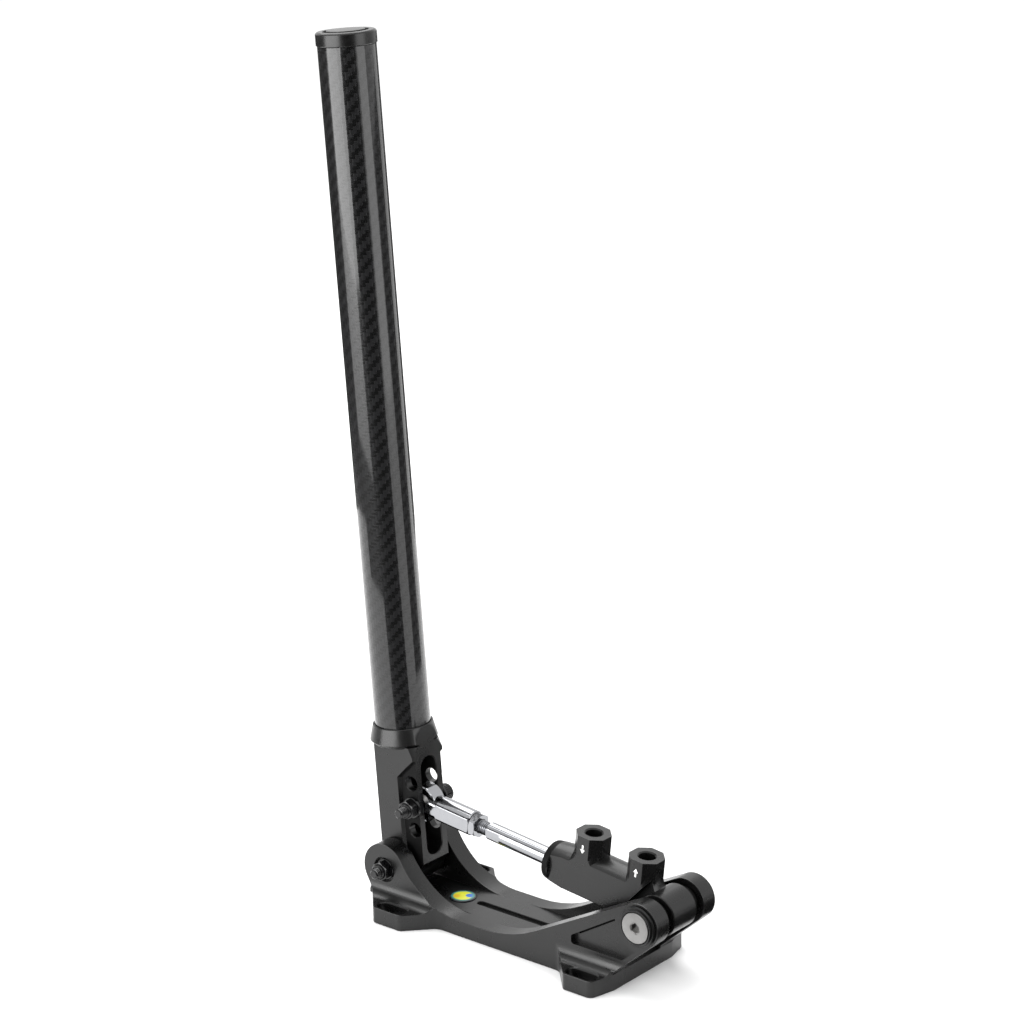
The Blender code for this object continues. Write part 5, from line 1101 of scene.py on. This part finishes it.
def makeCylinder():
    front, pivot = rodSpan - layout["cylinderLength"], rodSpan
    nose, taper = front + cylinder["noseRing"], front + cylinder["taper"]
    radius, slim = cylinder["radius"], cylinder["nose"]
    edge = slim + (radius - slim) * cylinder["noseRing"] / cylinder["taper"]
    profile = [(0.0, front), (slim - 1.0, front), (slim - 0.25, front + 0.35),
               (slim, front + 1.0), (edge, nose - 0.4), (edge - 0.35, nose),
               (edge + 0.1, nose + 0.05), (radius, taper), (radius, pivot - 13.0),
               (cylinder["rearTaper"], pivot - 4.4), (0.0, pivot - 4.4)]
    # each tool below is turned a degree or so about its own axis, so no edge meets an edge
    body = turned("cylinderBody", profile, "X", 120)
    ports = [pivot - cylinder["frontPort"], pivot - cylinder["rearPort"]]
    # the crown stands higher between the ports than beside them
    ends = [ports[0] + 1.37, ports[1] - 1.83]    # hidden inside the bosses
    saddle = [(0.0, ends[0]), (radius, ends[0]), (radius, ends[1]), (0.0, ends[1])]
    crown = turnPiece(turned("saddle", saddle, "X", 120), x=radians(0.7),
                      move=(0, 0, cylinder["saddleLift"]))
    machine(body, crown, "UNION")
    for place in ports:
        machine(body, portBoss(place), "UNION")
    for side in (-1, 1):
        flat, far = side * cylinder["flatY"], side * 30.0
        outline = [(nose, flat), (pivot + 30, flat), (pivot + 30, far), (nose, far)]
        machine(body, milled("flat", outline, -40.0, 40.0, "Z"))
        neck = side * cylinder["neckHalf"]
        slope = (cylinder["neckLow"] - cylinder["neckTop"]) / (radius + cylinder["flatY"])
        outline = [(pivot - cylinder["neckTop"] + slope * 16.0, 28.8),
                   (pivot - cylinder["neckTop"] - slope * 26.6, -13.8),
                   (pivot + 30, -13.8), (pivot + 30, 28.8)]
        machine(body, milled("neck", outline, neck, far, "Y"))
    machine(body, milled("rear", [(pivot, -30), (pivot + 30, -30), (pivot + 30, 30),
                                  (pivot, 30)], -40.0, 40.0, "Z"))
    half, barrel = cylinder["barrelHalf"], cylinder["barrel"]
    drum = [(0.0, -half), (barrel - 0.5, -half), (barrel, 0.5 - half), (barrel, half - 0.5),
            (barrel - 0.5, half), (0.0, half)]
    machine(body, turned("barrel", drum, "Y", 96, (pivot, 0, 0)), "UNION")
    bore, passage = cylinder["bore"], cylinder["borePassage"]
    groove = front + 3.3    # of the snap ring
    hollow = [(0.0, front - 1), (bore + 1.5, front - 1), (bore, front + 0.5), (bore, groove),
              (bore + 0.9, groove), (bore + 0.9, groove + 1.6), (bore, groove + 1.6),
              (bore, pivot - 29), (passage, pivot - 29), (passage, pivot - 14),
              (0.0, pivot - 14)]
    machine(body, turnPiece(turned("bore", hollow, "X", 64), x=radians(0.9)))
    wall, mouth = cylinder["holeRadius"], cylinder["holeChamfer"]
    top, passage = cylinder["portHeight"], cylinder["portPassage"]
    for place in ports:
        hole = [(0.0, 0.0), (passage, 0.0), (passage, cylinder["holeFloor"]),
                (wall, cylinder["holeFloor"] + 1.2), (wall, top - mouth),
                (wall + mouth + 1.0, top + 1.0), (0.0, top + 1.0)]
        tool = turnPiece(turned("portHole", hole, "Z", 64), z=radians(1.7), move=(place, 0, 0))
        machine(body, tool)
    wide = cylinder["pinBore"]
    pinBore = turned("pinBore", [(0.0, -20), (wide, -20), (wide, 20), (0.0, 20)], "Y", 64)
    machine(body, turnPiece(pinBore, y=radians(0.6), move=(pivot, 0, 0)))
    cleanFlats(body)
    bpy.ops.object.mode_set(mode="EDIT")
    bpy.ops.mesh.select_all(action="SELECT")
    bpy.ops.mesh.dissolve_degenerate(threshold=0.01 * mm)
    bpy.ops.object.mode_set(mode="OBJECT")
    shade(body, 24.0)
    for face in body.data.polygons:
        if abs(face.normal.y) > 0.9995:
            face.use_smooth = False    # the milled sides stay dead flat
    # painted shade: the nose ring and the recessed faces of the neck get the matt black, darker
    # than the body
    shadedNoseAndNeckFaces = [face.index for face in body.data.polygons if face.center.x < (nose - 0.3) * mm
                 or abs(abs(face.center.y) / mm - cylinder["neckHalf"]) < 0.05]
    fitPiece(body, "rod", "cylinder", black, "anodised", "cylinder_body")
    paintShade(body, shadeBlack, shadedNoseAndNeckFaces)
    ring = ringProfile(5.4, 7.7, front + 0.3, front + 2.7, 0.4)
    fitPiece(shade(turned("rodWiper", ring, "X", 64)), "rod", "cylinder", rubber, "rubber",
             "rod_wiper")
    for place, up, name in ((ports[0], -1, "Front"), (ports[1], 1, "Rear")):
        makeArrow("portArrow" + name, place, up)


def makeArrow(name, place, up):
    # a plain painted arrow that shows which way the fluid goes
    arrow = {"height": 4.9, "width": 3.1, "stem": 1.0, "head": 2.2, "middle": 19.2,
             "thickness": 0.06}
    half, tip = arrow["height"] / 2 * up, arrow["head"] * up
    outline = [(0.0, half), (arrow["width"] / 2, half - tip), (arrow["stem"] / 2, half - tip),
               (arrow["stem"] / 2, -half), (-arrow["stem"] / 2, -half),
               (-arrow["stem"] / 2, half - tip), (-arrow["width"] / 2, half - tip)]
    outline = [(place + u, arrow["middle"] + v) for u, v in outline]
    face = -cylinder["flatY"]
    piece = milled(name, outline, face, face - arrow["thickness"], "Y")
    fitPiece(piece, "rod", "cylinder", whitePaint, "anodised")


makeCylinder()
print("cylinder made")

# The cylinder's pivot: screws, stepped cups and spacers
hinge = {"screwHead": 8.7, "screw": 4.0, "cupSleeve": 8.6, "cupFlange": 11.4, "flange": 1.5,
         "cupStep": 10.1, "step": 1.3, "proud": 0.2, "socket": 5.2, "spacer": 9.0}


def makeHinge():
    x, z = layout["cylinderPivot"]
    centre = (x, 0, z)
    rest = base["bodyHalf"] + 0.3
    step = rest + hinge["flange"]
    face = step + hinge["step"]
    top = face + hinge["proud"]
    head, shank = hinge["screwHead"], hinge["screw"]
    under = top - 0.5
    cone = head - shank
    profile = [(0.0, top - 18.0), (shank - 0.5, top - 18.0), (shank, top - 17.5),
               (shank, under - cone), (head, under), (head, top - 0.25), (head - 0.25, top),
               (0.0, top)]
    screw = turned("pivotScrewFar", profile, "Y", 80)
    socket = milled("socket", polygonOutline(hinge["socket"], 6, pi / 6), top - 3.0, top + 1,
                    "Y")
    machine(screw, socket)
    dish = [(0.0, top - 0.35), (3.0, top - 0.35), (3.7, top + 0.35), (0.0, top + 0.35)]
    machine(screw, turned("dish", dish, "Y", 48))
    turnPiece(screw, move=centre)
    shade(cleanFlats(screw), 35.0)
    twin = shade(mirrorAcross(screw, "pivotScrewNear"), 35.0)
    for piece, node in ((screw, "cylinder_pivot_screw_far"), (twin,
                        "cylinder_pivot_screw_near")):
        fitPiece(piece, "base", "base", stainless, "zinc", node)
    end = base["cylinderEarInner"] + 0.3
    sleeve, flange, ledge = hinge["cupSleeve"], hinge["cupFlange"], hinge["cupStep"]
    hole, pinEnd = shank + 0.3, 19.8
    cup = [(6.3, end), (sleeve, end), (sleeve, rest), (flange - 0.2, rest),
           (flange, rest + 0.2), (flange, step - 0.45), (flange - 0.45, step),
           (ledge, step), (ledge, face - 0.3), (ledge - 0.3, face), (head + 0.55, face),
           (head + 0.3, face - 0.25), (head + 0.3, under - 0.3), (hole, under - 0.3 - cone),
           (hole, pinEnd), (6.3, pinEnd)]
    makePair("pivotCup", cup, centre, "base", "base", acetal, "acetal", "cylinder_pivot_cup", 96)
    makePair("pivotSpacer", ringProfile(6.3, hinge["spacer"], 10.3, 15.2, 0.3), centre, "base",
             "base", acetal, "acetal", "cylinder_spacer")


makeHinge()
print("cylinder pivot made")

# The CAD nodes that stay as they are, each with its own finish
keptNodes = {
    "lever_pivot_sleeve": stainless, "cylinder_pivot_pin": stainless,
    "lever_pivot_bush_near": acetal, "lever_pivot_bush_far": acetal,
    "rod_end_bolt_sleeve_near": stainless, "rod_end_bolt_sleeve_far": stainless,
    "rod_end_liner": liner, "piston": stainless, "primary_cup": rubber,
    "secondary_cup": rubber, "return_spring": springWire, "snap_ring": springWire,
    "stop_washer": stainless, "barrel_bush_near": liner, "barrel_bush_far": liner,
}
for node, finish in keptNodes.items():
    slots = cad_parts[node].data.materials
    slots.clear()
    slots.append(finish)

# Floor, lights and camera
studio = {
    "floor": "#f4f4f4", "world": 1.12, "lens": 105.47, "frame": 36.0,
    "cameraPlace": (0.9781, -1.1802, 0.7270), "cameraTurn": (72.63, 39.82, -0.86),
}


def makeFloor():
    deselectAll()
    bpy.ops.mesh.primitive_plane_add(size=60.0, location=(0, 0, -0.0002))
    ground = bpy.context.object
    ground.name = "floor"
    # Matt white paper sweep
    paper, tree, shader = newFinish("paleFloor", studio["floor"], 0.9)
    place = addNode(tree, "ShaderNodeTexCoord", {}).outputs["Object"]
    fine = spotty(tree, place, 400.0, 2.0)
    tone = addNode(tree, "ShaderNodeMix", {"data_type": "RGBA", 6: linear("#f2f2f2"),
                   7: linear("#f8f8f8")}, {0: fine.outputs["Fac"]})
    tree.links.new(tone.outputs[2], shader.inputs["Base Color"])
    shader.inputs["Specular IOR Level"].default_value = 0.1
    ground.data.materials.append(paper)


def darkCard(name, near, far, first, last):
    # matt black card on the floor that only reflections see; azimuths in degrees
    outline = arcPoints((0, 0), near, radians(first), radians(last), 10.0)
    outline += arcPoints((0, 0), far, radians(last), radians(first), 10.0)
    card = milled(name, outline, 0.5, 1.0, "Z")
    hideFromCamera(card)


def hideFromCamera(card):
    cloth, tree, shader = newFinish(card.name + "Cloth", "#050505", 0.95)
    card.data.materials.append(cloth)
    card.visible_camera = False
    card.visible_diffuse = False
    card.visible_shadow = False
    card.visible_transmission = False


def wallCard(name, azimuth, distance, width, low, high):
    # the same card standing up, facing the object
    deselectAll()
    turn = radians(azimuth)
    bpy.ops.mesh.primitive_plane_add(size=1.0, rotation=(pi / 2, 0, turn), location=(
        sin(turn) * distance, -cos(turn) * distance, (low + high) / 2))
    card = bpy.context.object
    card.name = name
    card.scale = (width, high - low, 1.0)
    bpy.ops.object.transform_apply(location=True, rotation=True, scale=True)
    hideFromCamera(card)


def makeLight(name, azimuth, elevation, distance, width, height, power, aim=(0, 0, 0.2)):
    turn, rise = radians(azimuth), radians(elevation)
    away = Vector((sin(turn) * cos(rise), -cos(turn) * cos(rise), sin(rise)))
    spot = Vector(aim) + away * distance
    deselectAll()
    bpy.ops.object.light_add(type="AREA", location=spot,
                             rotation=away.to_track_quat("Z", "Y").to_euler())
    lamp = bpy.context.object
    lamp.name = name
    lamp.data.shape = "RECTANGLE"
    lamp.data.size = width
    lamp.data.size_y = height
    lamp.data.energy = power


def makeCamera():
    # the photograph's viewing angle: tilt from the plumb line, heading, roll
    tilt, heading, roll = (radians(angle) for angle in studio["cameraTurn"])
    turn = (Matrix.Rotation(heading, 4, "Z") @ Matrix.Rotation(tilt, 4, "X")
            @ Matrix.Rotation(roll, 4, "Z"))
    deselectAll()
    bpy.ops.object.camera_add(location=studio["cameraPlace"], rotation=turn.to_euler())
    camera = bpy.context.object
    camera.data.lens = studio["lens"]
    camera.data.sensor_width = studio["frame"]
    camera.data.sensor_height = studio["frame"]
    camera.data.sensor_fit = "AUTO"
    bpy.context.scene.camera = camera


makeFloor()
# floor cards: near and far edge in mm, first and last angle in degrees
for card in (("cardFront", 125.0, 6000.0, -90.0, -15.0),
             ("cardLeft", 660.0, 1050.0, -138.0, -90.0),
             ("cardFar", 800.0, 6000.0, -265.0, -138.0),
             ("cardRight", 480.0, 6000.0, 28.0, 70.0),
             ("cardEnd", 120.0, 340.0, -15.0, 75.0)):
    darkCard(*card)
# standing cards: azimuth in degrees, then distance, width, low and high edge in metres
wallCard("roomWall", 46.0, 3.2, 3.4, -0.05, 1.6)
wallCard("topFlag", -47.0, 2.0, 2.6, 0.9, 1.85)
# softboxes: azimuth and elevation in degrees, distance, width and height in metres, watts
makeLight("softboxLeft", -16.0, 10.0, 1.9, 2.1, 1.3, 45.0)
makeLight("softboxRight", 97.0, 10.0, 1.9, 1.2, 1.3, 9.0)
makeLight("softboxTop", 238.0, 60.0, 2.2, 2.0, 2.0, 40.0)
bpy.context.scene.view_settings.view_transform = "Standard"
world = bpy.data.worlds.new("studioAir")
bpy.context.scene.world = world
world.use_nodes = True
world.node_tree.nodes["Background"].inputs[0].default_value = (1, 1, 1, 1)
world.node_tree.nodes["Background"].inputs[1].default_value = studio["world"]
makeCamera()
print("studio made")

deselectAll()
